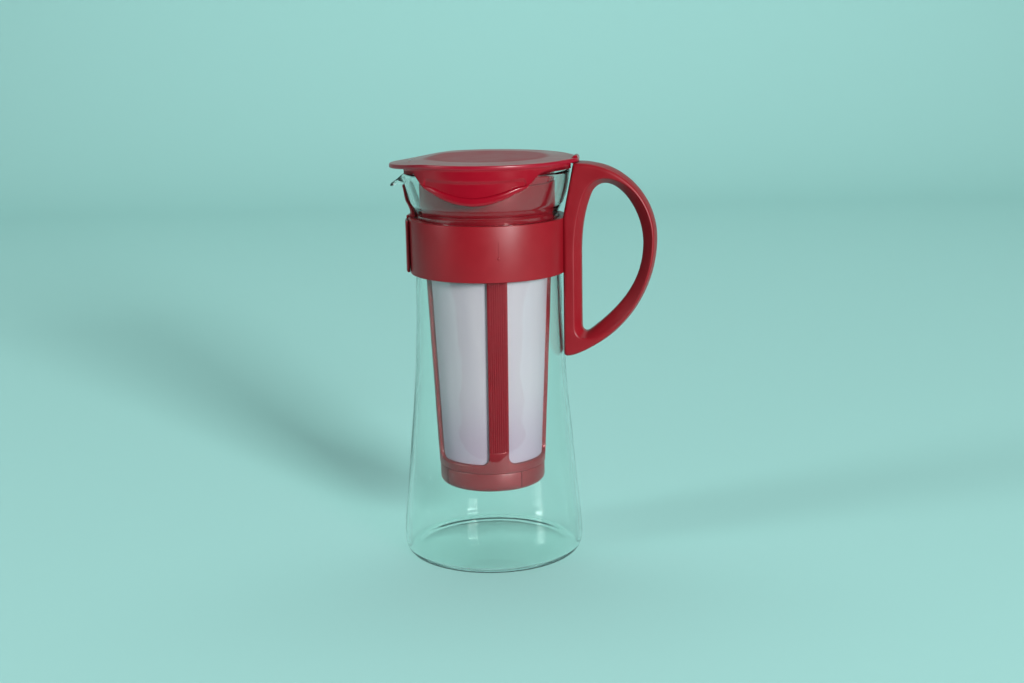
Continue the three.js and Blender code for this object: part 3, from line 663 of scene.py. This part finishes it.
def tongue_shell():
    """The tongue, which thins and narrows upwards to a rounded tip."""
    loops = []
    across = np.linspace(-1, 1, 13)
    for share in np.linspace(0, 1, 25):
        height = (band_top + 0.3) * (1 - share) + tongue_top * share
        inner = spout_wall(height) + tongue_gap
        thick = tongue_root_thickness + (tongue_tip_thickness - tongue_root_thickness) * math.sqrt(share)
        half = flange_half * (1 - tongue_taper * share ** 3)
        tip = max(0.0, (share - tongue_tip_start) / (1 - tongue_tip_start))
        half *= 1 - tip_narrowing * tip * tip
        thick *= 1 - tip_thinning * tip * tip
        row = [(inner, a) for a in across]
        row += [(inner + thick * (1 - tongue_edge_thinning * abs(a) ** 6), a) for a in across[::-1]]
        loops.append([(r * math.cos(math.pi + a * half), r * math.sin(math.pi + a * half), height)
                      for r, a in row])
    return skin(loops)


flange_inner, flange_high = glass_at(band_bottom) + band_gap, band_top + 0.6
clasp = make_piece("front_clasp_plate", [
    turned_block(clasp_inner, clasp_outer, clasp_low, clasp_high, clasp_soft, clasp_half, 41),
    turned_block(flange_inner, clasp_outer - 0.4, clasp_low, flange_high, flange_soft, web_half, 9),
    turned_block(flange_inner, flange_inner + 1.1, clasp_low, flange_high, flange_soft, flange_half, 15),
    tongue_shell(),
], satin_red, sharp=50)
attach(clasp, "pot")
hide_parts("front_clasp")


# ---------------------------------------------------------------------------------------------
# Filter frame: a tapered polypropylene cage moulded round the mesh. A plain cup hangs in the neck,
# four reeded ribs run down to the collar, and a short spigot below takes the cap.

cup_radius = 34.7
cup_wall = 1.5
cup_bottom = 181.0
cup_top = 196.0
cage_top_radius = 33.8
cage_low_radius = 27.9
cage_wall = 2.2
joint_height = 47.5
window_low = 52.2
window_high = 166.0
window_corner = 4.5
rib_count = 4
filter_turn = math.radians(16.5)
rib_width = 10.3
lip_round = 1.2
side_round = 0.35
reed_count = 8
reed_pitch = 1.05
reed_radius = 0.9
reed_bed = 0.3
reed_fade = 1.6
bed_half_share = 0.875
reed_low, reed_high = 58.4, 160.6
spigot_radius = 24.8
spigot_wall = 1.5
spigot_low = 41.5
lug_middle = 43.3
lug_reach = 0.9
lug_half = math.radians(7)


def cage_radius(height):
    share = (height - joint_height) / (cup_bottom - joint_height)
    return cage_low_radius + (cage_top_radius - cage_low_radius) * share


def rib_angle(height):
    """Half the angle that a rib takes at a height: it keeps one width while the cage narrows."""
    return math.asin(rib_width / 2 / cage_radius(min(max(height, window_low), window_high)))


corner_steps = [1 - math.cos(t) for t in np.linspace(0, math.pi / 2, 8)]
window_steps = 25


def window_line(share):
    """The window's lower and upper edges as (share of the half angle, height), at a share of the
    way from the opening out over its rounded edge."""
    side = share * side_round
    edges = []
    for level, turn, corner_height in (
            (window_low - share * lip_round, 1, window_corner + share * lip_round),
            (window_high + side, -1, window_corner + side)):
        half = math.pi / rib_count - rib_angle(level) + side / cage_radius(level)
        corner = (window_corner + side) / cage_radius(level)
        left = [-half + corner * s for s in corner_steps]
        angles = [*left, *np.linspace(left[-1], -left[-1], window_steps)[1:-1], *[-a for a in left[::-1]]]
        line = []
        for angle in angles:
            into = max(0.0, 1 - (half - abs(angle)) / corner)
            rise = corner_height * (1 - math.sqrt(max(0.0, 1 - into * into)))
            line.append((angle / half, level + turn * rise))
        edges.append(line)
    return edges


def cage_shell():
    """The cage's inner and outer skins, with four open windows whose edges are rounded outside."""
    points, faces = [], []
    rim = arc(cup_radius - cup_wall / 2, cup_top - cup_wall / 2, cup_wall / 2, cup_wall / 2, 0, 180, 9)
    above = [(cage_top_radius, cup_bottom - 0.6), (cage_top_radius + 0.15, cup_bottom),
             (cup_radius - 0.2, cup_bottom + 0.3), (cup_radius, cup_bottom + 0.6), *rim]
    inner_cup = cup_radius - cup_wall
    above_inner = [(cage_top_radius - cage_wall, cup_bottom - 4.4), (inner_cup - 0.2, cup_bottom + 1.6),
                   (inner_cup, cup_bottom + 2.6), rim[-1]]
    below = [(spigot_radius, joint_height + 0.3), (cage_low_radius - 0.25, joint_height + 0.3),
             (cage_low_radius, joint_height + 0.55)]
    below_inner = [(spigot_radius - spigot_wall, joint_height + 0.3),
                   (spigot_radius - spigot_wall, joint_height + 2.2), (cage_radius(50) - cage_wall, 50.4)]
    spigot = [(spigot_radius, joint_height + 0.3), (spigot_radius, spigot_low + 0.3),
              (spigot_radius - 0.3, spigot_low), (spigot_radius - spigot_wall, spigot_low),
              (spigot_radius - spigot_wall, joint_height + 0.3)]
    low_corner, high_corner = window_low + window_corner, window_high - window_corner
    side_levels = [low_corner, *np.linspace(reed_low, reed_low + reed_fade, 5), *np.linspace(70, 150, 9),
                   *np.linspace(reed_high - reed_fade, reed_high, 5), high_corner]

    def sheet(columns):
        """Joins columns of (radius, angle, height) points side by side."""
        for left, right in zip(columns, columns[1:]):
            for a, b, c, d in zip(left, right, right[1:], left[1:]):
                faces.append(tuple(range(len(points), len(points) + 4)))
                points.extend((r * math.cos(t), r * math.sin(t), z) for r, t, z in (a, b, c, d))

    def half_window(height, share):
        return math.pi / rib_count - rib_angle(height) + share * side_round / cage_radius(height)

    def half_rib(height, share):
        return math.pi / rib_count - half_window(height, share)

    for rib in range(rib_count):
        middle = filter_turn - math.pi / 2 + rib * 2 * math.pi / rib_count
        centre = middle + math.pi / rib_count
        for share, inset, under, over in ((1, 0, below, above), (0, cage_wall, below_inner, above_inner)):
            def column(across):
                bed = reed_bed * min(1.0, max(0.0, (bed_half_share - abs(across)) / 0.03)) if share else 0.0
                side = []
                for z in side_levels:
                    sunk = bed * ease(reed_low, reed_low + reed_fade, z)
                    sunk *= ease(reed_high, reed_high - reed_fade, z)
                    side.append((cage_radius(z) - inset - sunk, z))
                return [(r, middle + across * half_rib(z, share), z) for r, z in (*under, *side, *over)]

            sheet([column(g) for g in (-1, -0.9, -0.875, -0.845, *np.linspace(-0.6, 0.6, 7),
                                       0.845, 0.875, 0.9, 1)])
            lower, upper = window_line(share)
            sheet([[*[(r, centre + f * half_window(z, share), z) for r, z in under],
                    (cage_radius(z1) - inset, centre + f * half_window(window_low, share), z1)]
                   for f, z1 in lower])
            sheet([[(cage_radius(z1) - inset, centre + f * half_window(window_high, share), z1),
                    *[(r, centre + f * half_window(z, share), z) for r, z in over]] for f, z1 in upper])
        sheet([[(r, centre + f * half_window(0, 1), z) for r, z in spigot] for f, _ in lower])
        sheet([[(r, middle + g * half_rib(0, 1), z) for r, z in spigot] for g in (-1, 0, 1)])
        loops = []
        for t in (*np.linspace(0, math.pi / 2, 5), None):
            share = 0.0 if t is None else 1 - math.sin(t)
            lower, upper = window_line(share)
            sides = [z for z in side_levels if low_corner < z < high_corner]
            around = [(f * half_window(window_low, share), z) for f, z in lower]
            around += [(half_window(z, share), z) for z in sides]
            around += [(f * half_window(window_high, share), z) for f, z in upper[::-1]]
            around += [(-half_window(z, share), z) for z in sides[::-1]]
            loop = []
            for turn, z in around:
                inset = cage_wall
                if t is not None:
                    low_here = 1 - ease(low_corner - 1, low_corner + 1, z)
                    inset = (side_round + (lip_round - side_round) * low_here) * (1 - math.cos(t))
                loop.append((cage_radius(z) - inset, centre + turn, z))
            loops.append(loop + loop[:1])
        for outer, inner in zip(loops, loops[1:]):
            sheet([[a, b] for a, b in zip(outer, inner)])
    return points, faces


def lug_shell(bearing):
    section = rounded_block(spigot_radius - 0.7, spigot_radius + lug_reach,
                            lug_middle - lug_reach, lug_middle + lug_reach, 0.2)
    return swept(lambda a: section, np.linspace(bearing - lug_half, bearing + lug_half, 9))


filter_red = polypropylene("polypropylene_filter_red", "720A17", 0.32, 0.32, 0.9, 0.01)
cage = make_piece("filter_cage", [cage_shell(), lug_shell(filter_turn), lug_shell(filter_turn + math.pi)],
                  filter_red, sharp=38)

# This tree makes a round bar along the drawn line, sets bars side by side over a rib's curved face
# and repeats them on every rib.
rib_reeding = bpy.data.node_groups.new("rib_reeding", "GeometryNodeTree")
asked = add_inputs(rib_reeding, {
    "Bar Radius": ("Float", 0.001), "Bars": ("Int", 1), "Pitch": ("Float", 0.001),
    "Face Radius": ("Float", 0.03), "Ribs": ("Int", 1), "First Bearing": ("Float", 0.0)})
rail = node(rib_reeding, "GeometryNodeMeshToCurve", {"Mesh": asked["Geometry"]})
round_bar = node(rib_reeding, "GeometryNodeCurvePrimitiveCircle", {
    "Radius": asked["Bar Radius"], "Resolution": 48})
bar = node(rib_reeding, "GeometryNodeCurveToMesh", {
    "Curve": rail, "Profile Curve": round_bar, "Fill Caps": True})
gaps_between = node(rib_reeding, "ShaderNodeMath", {0: asked["Bars"], 1: 1.0}, operation="SUBTRACT")
whole_width = node(rib_reeding, "ShaderNodeMath", {0: gaps_between, 1: asked["Pitch"]}, operation="MULTIPLY")
first_place = node(rib_reeding, "ShaderNodeMath", {0: whole_width, 1: -0.5}, operation="MULTIPLY")
start = node(rib_reeding, "ShaderNodeCombineXYZ", {"Y": first_place})
step = node(rib_reeding, "ShaderNodeCombineXYZ", {"Y": asked["Pitch"]})
places = node(rib_reeding, "GeometryNodeMeshLine", {
    "Count": asked["Bars"], "Start Location": start, "Offset": step})
here = node(rib_reeding, "GeometryNodeInputPosition")
across = node(rib_reeding, "ShaderNodeSeparateXYZ", {"Vector": here}).outputs["Y"]
square = node(rib_reeding, "ShaderNodeMath", {0: across, 1: across}, operation="MULTIPLY")
fall = node(rib_reeding, "ShaderNodeMath", {0: square, 1: asked["Face Radius"]}, operation="DIVIDE")
inwards = node(rib_reeding, "ShaderNodeMath", {0: fall, 1: -0.5}, operation="MULTIPLY")
sag = node(rib_reeding, "ShaderNodeCombineXYZ", {"X": inwards})
on_face = node(rib_reeding, "GeometryNodeSetPosition", {"Geometry": places, "Offset": sag})
one_rib = node(rib_reeding, "GeometryNodeInstanceOnPoints", {"Points": on_face, "Instance": bar})
hubs = node(rib_reeding, "GeometryNodeMeshLine", {"Count": asked["Ribs"], "Offset": (0, 0, 0)})
which = node(rib_reeding, "GeometryNodeInputIndex")
rib_turn = node(rib_reeding, "ShaderNodeMath", {0: 2 * math.pi, 1: asked["Ribs"]}, operation="DIVIDE")
turned = node(rib_reeding, "ShaderNodeMath", {
    0: which, 1: rib_turn, 2: asked["First Bearing"]}, operation="MULTIPLY_ADD")
about_axis = node(rib_reeding, "ShaderNodeCombineXYZ", {"Z": turned})
all_ribs = node(rib_reeding, "GeometryNodeInstanceOnPoints", {
    "Points": hubs, "Instance": one_rib, "Rotation": about_axis})
end_tree(rib_reeding, all_ribs, filter_red)

# Each bar sinks into the rib over its last 1.3 mm, as (distance from its end, depth).
reed_end = [(0, 0.35), (0.25, 0.16), (0.7, 0.03), (1.3, 0)]
reed_line = [(reed_low + d, sunk) for d, sunk in reed_end]
reed_line += [(reed_high - d, sunk) for d, sunk in reed_end[::-1]]
reed_rail = [(cage_radius(z) - reed_radius - sunk, 0, z) for z, sunk in reed_line]
reeds = grown("rib_reeds", drawn_line("reed_rail", reed_rail, False), rib_reeding, {
    "Bar Radius": reed_radius * mm, "Bars": reed_count, "Pitch": reed_pitch * mm,
    "Face Radius": cage_radius((reed_low + reed_high) / 2) * mm, "Ribs": rib_count,
    "First Bearing": filter_turn - math.pi / 2,
}, sharp=50)
for piece in (cage, reeds):
    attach(piece, "filter")
    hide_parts("filter_frame")


# ---------------------------------------------------------------------------------------------
# Mesh: fine polyester cloth, woven at about seven threads to the millimetre, moulded into the
# cage's windows. It is slack between the ribs, so faint upright folds run down it.

mesh_set_back = 1.95
mesh_thickness = 0.25
side_overlap = 0.6
end_overlap = 0.8
slack_depth = 0.35
fold_depth = 0.12
thread_pitch = 0.6
# Blender's wave texture at scale 1 repeats every 0.3142.
wave_scale = 0.3142 / thread_pitch
rose_top, rose_full = 95.0, 52.0

polyester, tree = new_material("polyester_mesh_woven")
# White cloth that lets much of the light through. The real threads lie 0.15 mm apart, too fine
# to show, so the weave is drawn at 0.6 mm. Its lower end is tinted a faint rose.
laid = node(tree, "ShaderNodeUVMap", uv_map="cloth")
warp = node(tree, "ShaderNodeTexWave", {"Vector": laid, "Scale": wave_scale}, bands_direction="X")
weft = node(tree, "ShaderNodeTexWave", {"Vector": laid, "Scale": wave_scale}, bands_direction="Y")
weave = node(tree, "ShaderNodeMath", {0: warp.outputs["Fac"], 1: weft.outputs["Fac"]}, operation="MULTIPLY")
# Painted shade: upright streaks of a lighter and a darker tint stand in for the light and shade on the
# cloth's folds.
streaks = node(tree, "ShaderNodeMapping", {"Vector": laid, "Scale": (0.16, 0.012, 1.0)})
fold_shade_streaks = node(tree, "ShaderNodeTexNoise", {"Vector": streaks, "Scale": 1.0, "Detail": 2.0})
fold_shaded_tint = node(tree, "ShaderNodeMix", {
    "Factor": fold_shade_streaks, "A": linear("DACED9"), "B": linear("E6DBE2")}, data_type="RGBA")
upright = node(tree, "ShaderNodeSeparateXYZ", {"Vector": laid})
# The rose tint starts at 95 mm and grows downwards to its fullest at 52 mm and below.
rose_share = node(tree, "ShaderNodeMapRange", {
    "Value": upright.outputs["Y"], "From Min": rose_top, "From Max": rose_full, "To Max": 0.8,
}, interpolation_type="SMOOTHSTEP")
cloth_tint = node(tree, "ShaderNodeMix", {
    "Factor": rose_share, "A": fold_shaded_tint, "B": linear("CEB6CB")}, data_type="RGBA")
thread_relief = node(tree, "ShaderNodeBump", {"Height": weave, "Strength": 0.5, "Distance": 0.00005})
front_light = node(tree, "ShaderNodeBsdfPrincipled", {
    "Base Color": cloth_tint, "Roughness": 0.62, "IOR": 1.5, "Normal": thread_relief})
through_light = node(tree, "ShaderNodeBsdfTranslucent", {"Color": cloth_tint})
cloth = node(tree, "ShaderNodeMixShader", {0: 0.5, 1: front_light, 2: through_light})
gaps = node(tree, "ShaderNodeBsdfTransparent")
open_cloth = node(tree, "ShaderNodeMixShader", {0: 0.1, 1: cloth, 2: gaps})
node(tree, "ShaderNodeOutputMaterial", {"Surface": open_cloth})


def mesh_panel(number):
    """The cloth of one window, which reaches a little way into the moulding on every side."""
    middle = filter_turn - math.pi / 2 + (number + 0.5) * math.pi / 2
    columns, rows = 72, 96
    low, high = window_low - end_overlap, window_high + end_overlap
    random = np.random.default_rng(number + 3)
    phases = random.uniform(0, 2 * math.pi, 4)

    def radius_at(across, height):
        slack = math.cos(across * math.pi / 2) * math.sin(math.pi * (height - low) / (high - low))
        fold = sum(math.sin((3 + 2.3 * k) * across + 0.012 * (k + 1) * height + phases[k]) / (k + 1.5)
                   for k in range(4))
        return cage_radius(height) - mesh_set_back - slack * (slack_depth - fold_depth * fold)

    loops = []
    for i in range(columns + 1):
        across = 2 * i / columns - 1
        heights = np.linspace(low, high, rows + 1)
        front = [(radius_at(across, z), z) for z in heights]
        back = [(r - mesh_thickness, z) for r, z in front[::-1]]
        loop = []
        for r, z in front + back:
            bearing = middle + across * (math.pi / rib_count - rib_angle(z) + side_overlap / r)
            loop.append((r * math.cos(bearing), r * math.sin(bearing), z))
        loops.append(loop)
    panel = make_piece(f"mesh_cloth_{number + 1}", [skin(loops)], polyester, sharp=60)
    lay = panel.data.uv_layers.new(name="cloth")
    for loop in panel.data.loops:
        spot = panel.data.vertices[loop.vertex_index].co
        turn = math.atan2(spot.y, spot.x) - middle
        turn = math.atan2(math.sin(turn), math.cos(turn))
        lay.data[loop.index].uv = (turn * cage_radius(spot.z / mm), spot.z / mm)
    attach(panel, "filter")
    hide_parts(f"mesh_panel_{number + 1}")


for number in range(rib_count):
    mesh_panel(number)


# ---------------------------------------------------------------------------------------------
# Filter cap: a shallow moulded cup that turns on to the spigot. Four short upright grooves in its
# side give the fingers a hold.

cap_bottom = 37.5
cap_wall = 1.6
cap_round = 3.2
cap_turn = math.radians(25)
cap_dish = [(0, 0.5), (18, 0.45), (19, 0.1), (20, 0.0)]
groove_depth = 0.7
groove_half = 0.45
groove_side = 0.15
groove_bearings = [filter_turn - math.pi / 2 + k * math.pi / 2 + cap_turn for k in range(4)]


def cap_angles():
    steps = [s / cage_low_radius for s in (-0.8, -0.45, -0.3, -0.15, 0.15, 0.3, 0.45, 0.8)]
    near = [b + s for b in groove_bearings for s in steps]
    clear = [a for a in full_turn(240) if min(abs(math.remainder(a - n, 2 * math.pi)) for n in near) > 0.012]
    return sorted((a % (2 * math.pi)) for a in near + clear)


def cap_section(angle):
    off = min(abs(math.remainder(angle - b, 2 * math.pi)) for b in groove_bearings) * cage_low_radius
    cut = groove_depth * min(1.0, max(0.0, (groove_half - off) / groove_side))
    out, inside, joint = cage_low_radius - 0.35, spigot_radius + 1.2, spigot_radius + 0.3
    heel = arc(out - cap_round, cap_bottom + cap_round, cap_round, cap_round, -90, 0, 10)
    curve = [(r - cut * ease(cap_bottom + 1.0, cap_bottom + 1.7, z), z) for r, z in heel]
    floor = cap_bottom + cap_wall
    return [
        *[(r, cap_bottom + z) for r, z in cap_dish], *curve,
        (out - cut, joint_height - 0.45), (out - 0.1 - cut, joint_height - 0.15),
        (out - 0.3 - cut, joint_height), (joint, joint_height), (joint, lug_middle + 1.2),
        (inside, lug_middle + 1.2), (inside, floor + 0.6), (inside - 0.6, floor), (0, floor),
    ]


cap = make_piece("filter_cap_cup", [swept(cap_section, cap_angles(), closed=True)], filter_red, sharp=38)
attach(cap, "cap")
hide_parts("filter_cap")


# ---------------------------------------------------------------------------------------------
# Lid top: a polished-mould polypropylene disc, drawn out to a nose over the spout and cut straight
# at the handle, with a low round panel in the middle.

lid_radius = 44.8
nose_reach = 50.4
nose_spread = math.radians(21)
rear_reach = 49.6
rear_chord = 47.3
lid_top = 207.6
lid_rim_thickness = 2.2
lid_under = lid_top - lid_rim_thickness
panel_radius = 31.2
panel_slope = (32.2, 26.8)
panel_rise = 0.2
annulus_fall = 0.4
nose_droop = 2.4
nose_droop_length = 28.0
rear_corner_sharpness = 2.5
annulus_start = 34.0
annulus_margin = 3.2
annulus_set_down = 0.06
panel_crown = 0.06
lid_edge_round = 0.75


def pointed(reach, off):
    """Radius of a circle drawn out to a point at this reach, at an angle from the point."""
    spread = math.acos(lid_radius / reach)
    return lid_radius if off >= spread else lid_radius / math.cos(spread - off)


def lid_edge(angle):
    """The lid's outline: a circle with a nose, and a straight edge at the handle whose ends are
    drawn out towards a point."""
    off_rear = abs(math.remainder(angle, 2 * math.pi))
    off_nose = math.pi - off_rear
    if off_nose < math.pi / 2:
        return lid_radius + (nose_reach - lid_radius) * math.exp(-((off_nose / nose_spread) ** 2))
    chord = rear_chord / max(math.cos(off_rear), 1e-6)
    rear = pointed(rear_reach, off_rear)
    blend = math.exp(-rear * rear_corner_sharpness) + math.exp(-chord * rear_corner_sharpness)
    return -math.log(blend) / rear_corner_sharpness


def droop(x):
    share = min(1.0, max(0.0, (-x - nose_reach + nose_droop_length) / nose_droop_length))
    return nose_droop * share * share * (3 - 2 * share)


def lid_section(angle):
    edge = lid_edge(angle)
    slope_out, slope_in = panel_slope
    shoulder = lid_top + annulus_fall - annulus_set_down
    top = [(0, shoulder + panel_rise + panel_crown),
           (panel_radius * 0.6, shoulder + panel_rise + panel_crown / 2)]
    top += [(r, shoulder + panel_rise * ease(slope_out, slope_in, r))
            for r in np.linspace(slope_in - 0.6, slope_out + 0.6, 13)]
    top += [(annulus_start + (edge - annulus_start - annulus_margin) * t, shoulder - annulus_fall * t)
            for t in np.linspace(0, 1, 9)]
    top.append((edge - 1.6, lid_top - 0.04))
    rounded = arc(edge - lid_edge_round, lid_top - lid_edge_round, lid_edge_round, lid_edge_round, 90, 0, 7)
    under = [(edge, lid_under + 0.45), (edge - 0.15, lid_under + 0.12), (edge - 0.5, lid_under),
             (panel_radius + 6, lid_under), (panel_radius, lid_under), (panel_radius - 1.2, lid_under + 0.9),
             (0, lid_under + 1.2)]
    return [(r, z - droop(r * math.cos(angle))) for r, z in top + rounded + under]


polished_red = polypropylene("polypropylene_polished_red", "83081B", 0.2, 0.35, 1.2, 0.005)
lid_red = polypropylene("polypropylene_lid_red", "8A0822", 0.3, 0.45, 1.2, 0.004,
                        panel=(panel_slope[0] - 1.5, 0.5))
lid_disc = make_piece("lid_top_disc", [swept(lid_section, full_turn(360), closed=True)], lid_red, sharp=60)
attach(lid_disc, "cover")
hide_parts("lid")


# ---------------------------------------------------------------------------------------------
# Lid skirts: two curved aprons of the same moulding that hang outside the glass, each with a
# sunken finger rest above a curved lip by which the lid is lifted.

skirt_outer = 44.3
skirt_inner = 42.9
skirt_front = math.radians(60)
skirt_rear = math.radians(80)
lip_half = math.radians(39.5)
lip_height = 4.1
lip_reach = 0.85
lip_under_round = 1.7
lip_fade_start = 0.84
lip_least_share = 0.15
rest_half = math.radians(35)
rest_corner = 2.2
rest_top = 199.3
rest_depth = 0.65
rest_soft = 1.0
rest_end_soft = 0.012
crest_height = 1.3
flush_from, flush_to = 50, 60
skirt_columns = 301
# An apron's lower edge as (degrees from its middle, height): front runs to the spout, rear to the
# handle.
front_edge = [
    (0, 187.8), (10, 188.7), (20, 190.9), (28, 193.6), (34.5, 195.7), (40, 198.9), (43.5, 201.2),
    (46.5, 202.9), (50, 204.2), (54, 204.9), (60, 205.3),
]
rear_edge = [*front_edge[:7], (47, 202.4), (51, 203.0), (58, 203.4), (68, 203.6), (80, 203.7)]
skirt_curves = {1: smooth_through(front_edge, 12), -1: smooth_through(rear_edge, 12)}


def skirt_section(off):
    """The skirt's section at an angle from its middle towards the spout, outside down and inside up."""
    curve = skirt_curves[1 if off > 0 else -1]
    under = lid_under - droop(-skirt_outer * math.sin(max(0.0, off)))
    low = float(np.interp(abs(math.degrees(off)), curve[:, 0], curve[:, 1]))
    fade = 1 - ease(lip_fade_start, 1.0, abs(off) / lip_half)
    tall = lip_height * max(lip_least_share, 1 - abs(off / lip_half) ** 4)
    crest, tuck = min(crest_height, 0.32 * tall), min(lip_under_round, 0.42 * tall)
    lip_top = min(low + tall, under - 0.6)
    into_end = min(1.0, max(0.0, 1 - (rest_half - abs(off)) * skirt_outer / rest_corner))
    rest_high = rest_top + (off / rest_half) ** 2 - rest_corner * (1 - math.sqrt(1 - into_end ** 2))
    rest_high = min(max(rest_high, lip_top + 0.6), under - 1.6)
    depth = rest_depth * (1 - ease(rest_half - rest_end_soft, rest_half + rest_end_soft, abs(off)))
    flush = (lid_radius - 0.05 - skirt_outer) * ease(flush_from, flush_to, -math.degrees(off))
    body, edge = skirt_outer + flush, lid_radius - 0.02
    outer = [(edge - 0.1, under + 1.1), (edge, under + 0.5)]
    outer += [(body + (edge - body) * t * t, under - 1.0 + 1.5 * t) for t in np.linspace(1, 0, 8)[1:]]
    shoulder = min(rest_high + rest_soft, under - 1.02)
    outer += [(body - depth * ease(0, 1, t), min(rest_high + rest_soft * (1 - 2 * t), shoulder - 0.01 * t))
              for t in np.linspace(0, 1, 9)]
    low_in_rest = max(rest_high - rest_soft - 0.05, lip_top + 0.05)
    outer += [(body - depth, z) for z in np.linspace(low_in_rest, lip_top + 0.02, 6)]
    ridge = depth + lip_reach * fade
    outer += arc(body - depth, lip_top - crest, ridge, crest, 90, 0, 8)
    face, roll = body + lip_reach * fade, 0.25 + 0.7 * fade
    outer += [(face, z) for z in np.linspace(lip_top - crest, low + tuck, 4)[1:-1]]
    outer += arc(face - roll, low + tuck, roll, tuck, 0, -90, 8)
    inner = [(skirt_inner, z) for z in (low + 0.1, (low + under + 1.1) / 2, under + 1.1)]
    return outer + inner


def skirt_shell(side):
    angles = side * (math.pi / 2 + np.linspace(-skirt_rear, skirt_front, skirt_columns))
    return swept(lambda a: skirt_section(side * a - math.pi / 2), angles)


skirts = make_piece("lid_skirts", [skirt_shell(1), skirt_shell(-1)], polished_red, sharp=50)
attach(skirts, "cover")
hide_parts("lid")


# ---------------------------------------------------------------------------------------------
# Lid underside: a ring that seats on the filter's cup and drops into it, a short guard behind the
# spout, and the thumb nub at the straight rear edge.

seat_height = cup_top + 0.3
plug_radius = 32.8
plug_wall = 1.5
plug_depth = 7.0
plug_bottom = seat_height - plug_depth
guard_wall = 1.4
guard_gap = 0.6
guard_depth = 3.6
guard_half = math.radians(9)
nub_length = 2.6
nub_width = 8.6
nub_height = 1.3


def plug_shell():
    outside, inside, top = cup_radius - 0.3, plug_radius - plug_wall, lid_under + 1
    section = [
        (outside, top), (outside, seat_height + 0.25), (outside - 0.25, seat_height),
        (plug_radius, seat_height), (plug_radius, plug_bottom + 0.5), (plug_radius - 0.4, plug_bottom),
        (plug_radius - 1.1, plug_bottom), (inside, plug_bottom + 0.4), (inside, top),
    ]
    return swept(lambda a: section, full_turn(200), closed=True)


def guard_shell():
    outer = rim_radius - glass_wall - guard_gap
    section = rounded_block(outer - guard_wall, outer, lid_under - guard_depth, lid_under + 1, 0.3)
    return swept(lambda a: section, np.linspace(math.pi - guard_half, math.pi + guard_half, 25))


def nub_shell():
    side = [(-1.3, -0.9), (0.0, -0.9), (0.0, -0.1), (-0.03, 0.3), (-0.1, 0.62), (-0.22, 0.86), (-0.38, 0.98),
            (-0.54, 1.0), (-0.7, 0.9), (-0.88, 0.65), (-1.06, 0.3), (-1.2, 0.0)]
    loops = []
    for across, rise in ((-0.5, 0.3), (-0.485, 0.55), (-0.45, 0.78), (-0.4, 0.92), (-0.33, 1.0), (0.33, 1.0),
                         (0.4, 0.92), (0.45, 0.78), (0.485, 0.55), (0.5, 0.3)):
        loops.append([(rear_chord - 0.2 + x * nub_length, across * nub_width, lid_top + z * nub_height * rise)
                      for x, z in side])
    return skin(loops)


underside = make_piece("lid_seat_ring", [plug_shell(), guard_shell(), nub_shell()], polished_red, sharp=45)
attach(underside, "cover")
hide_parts("lid")
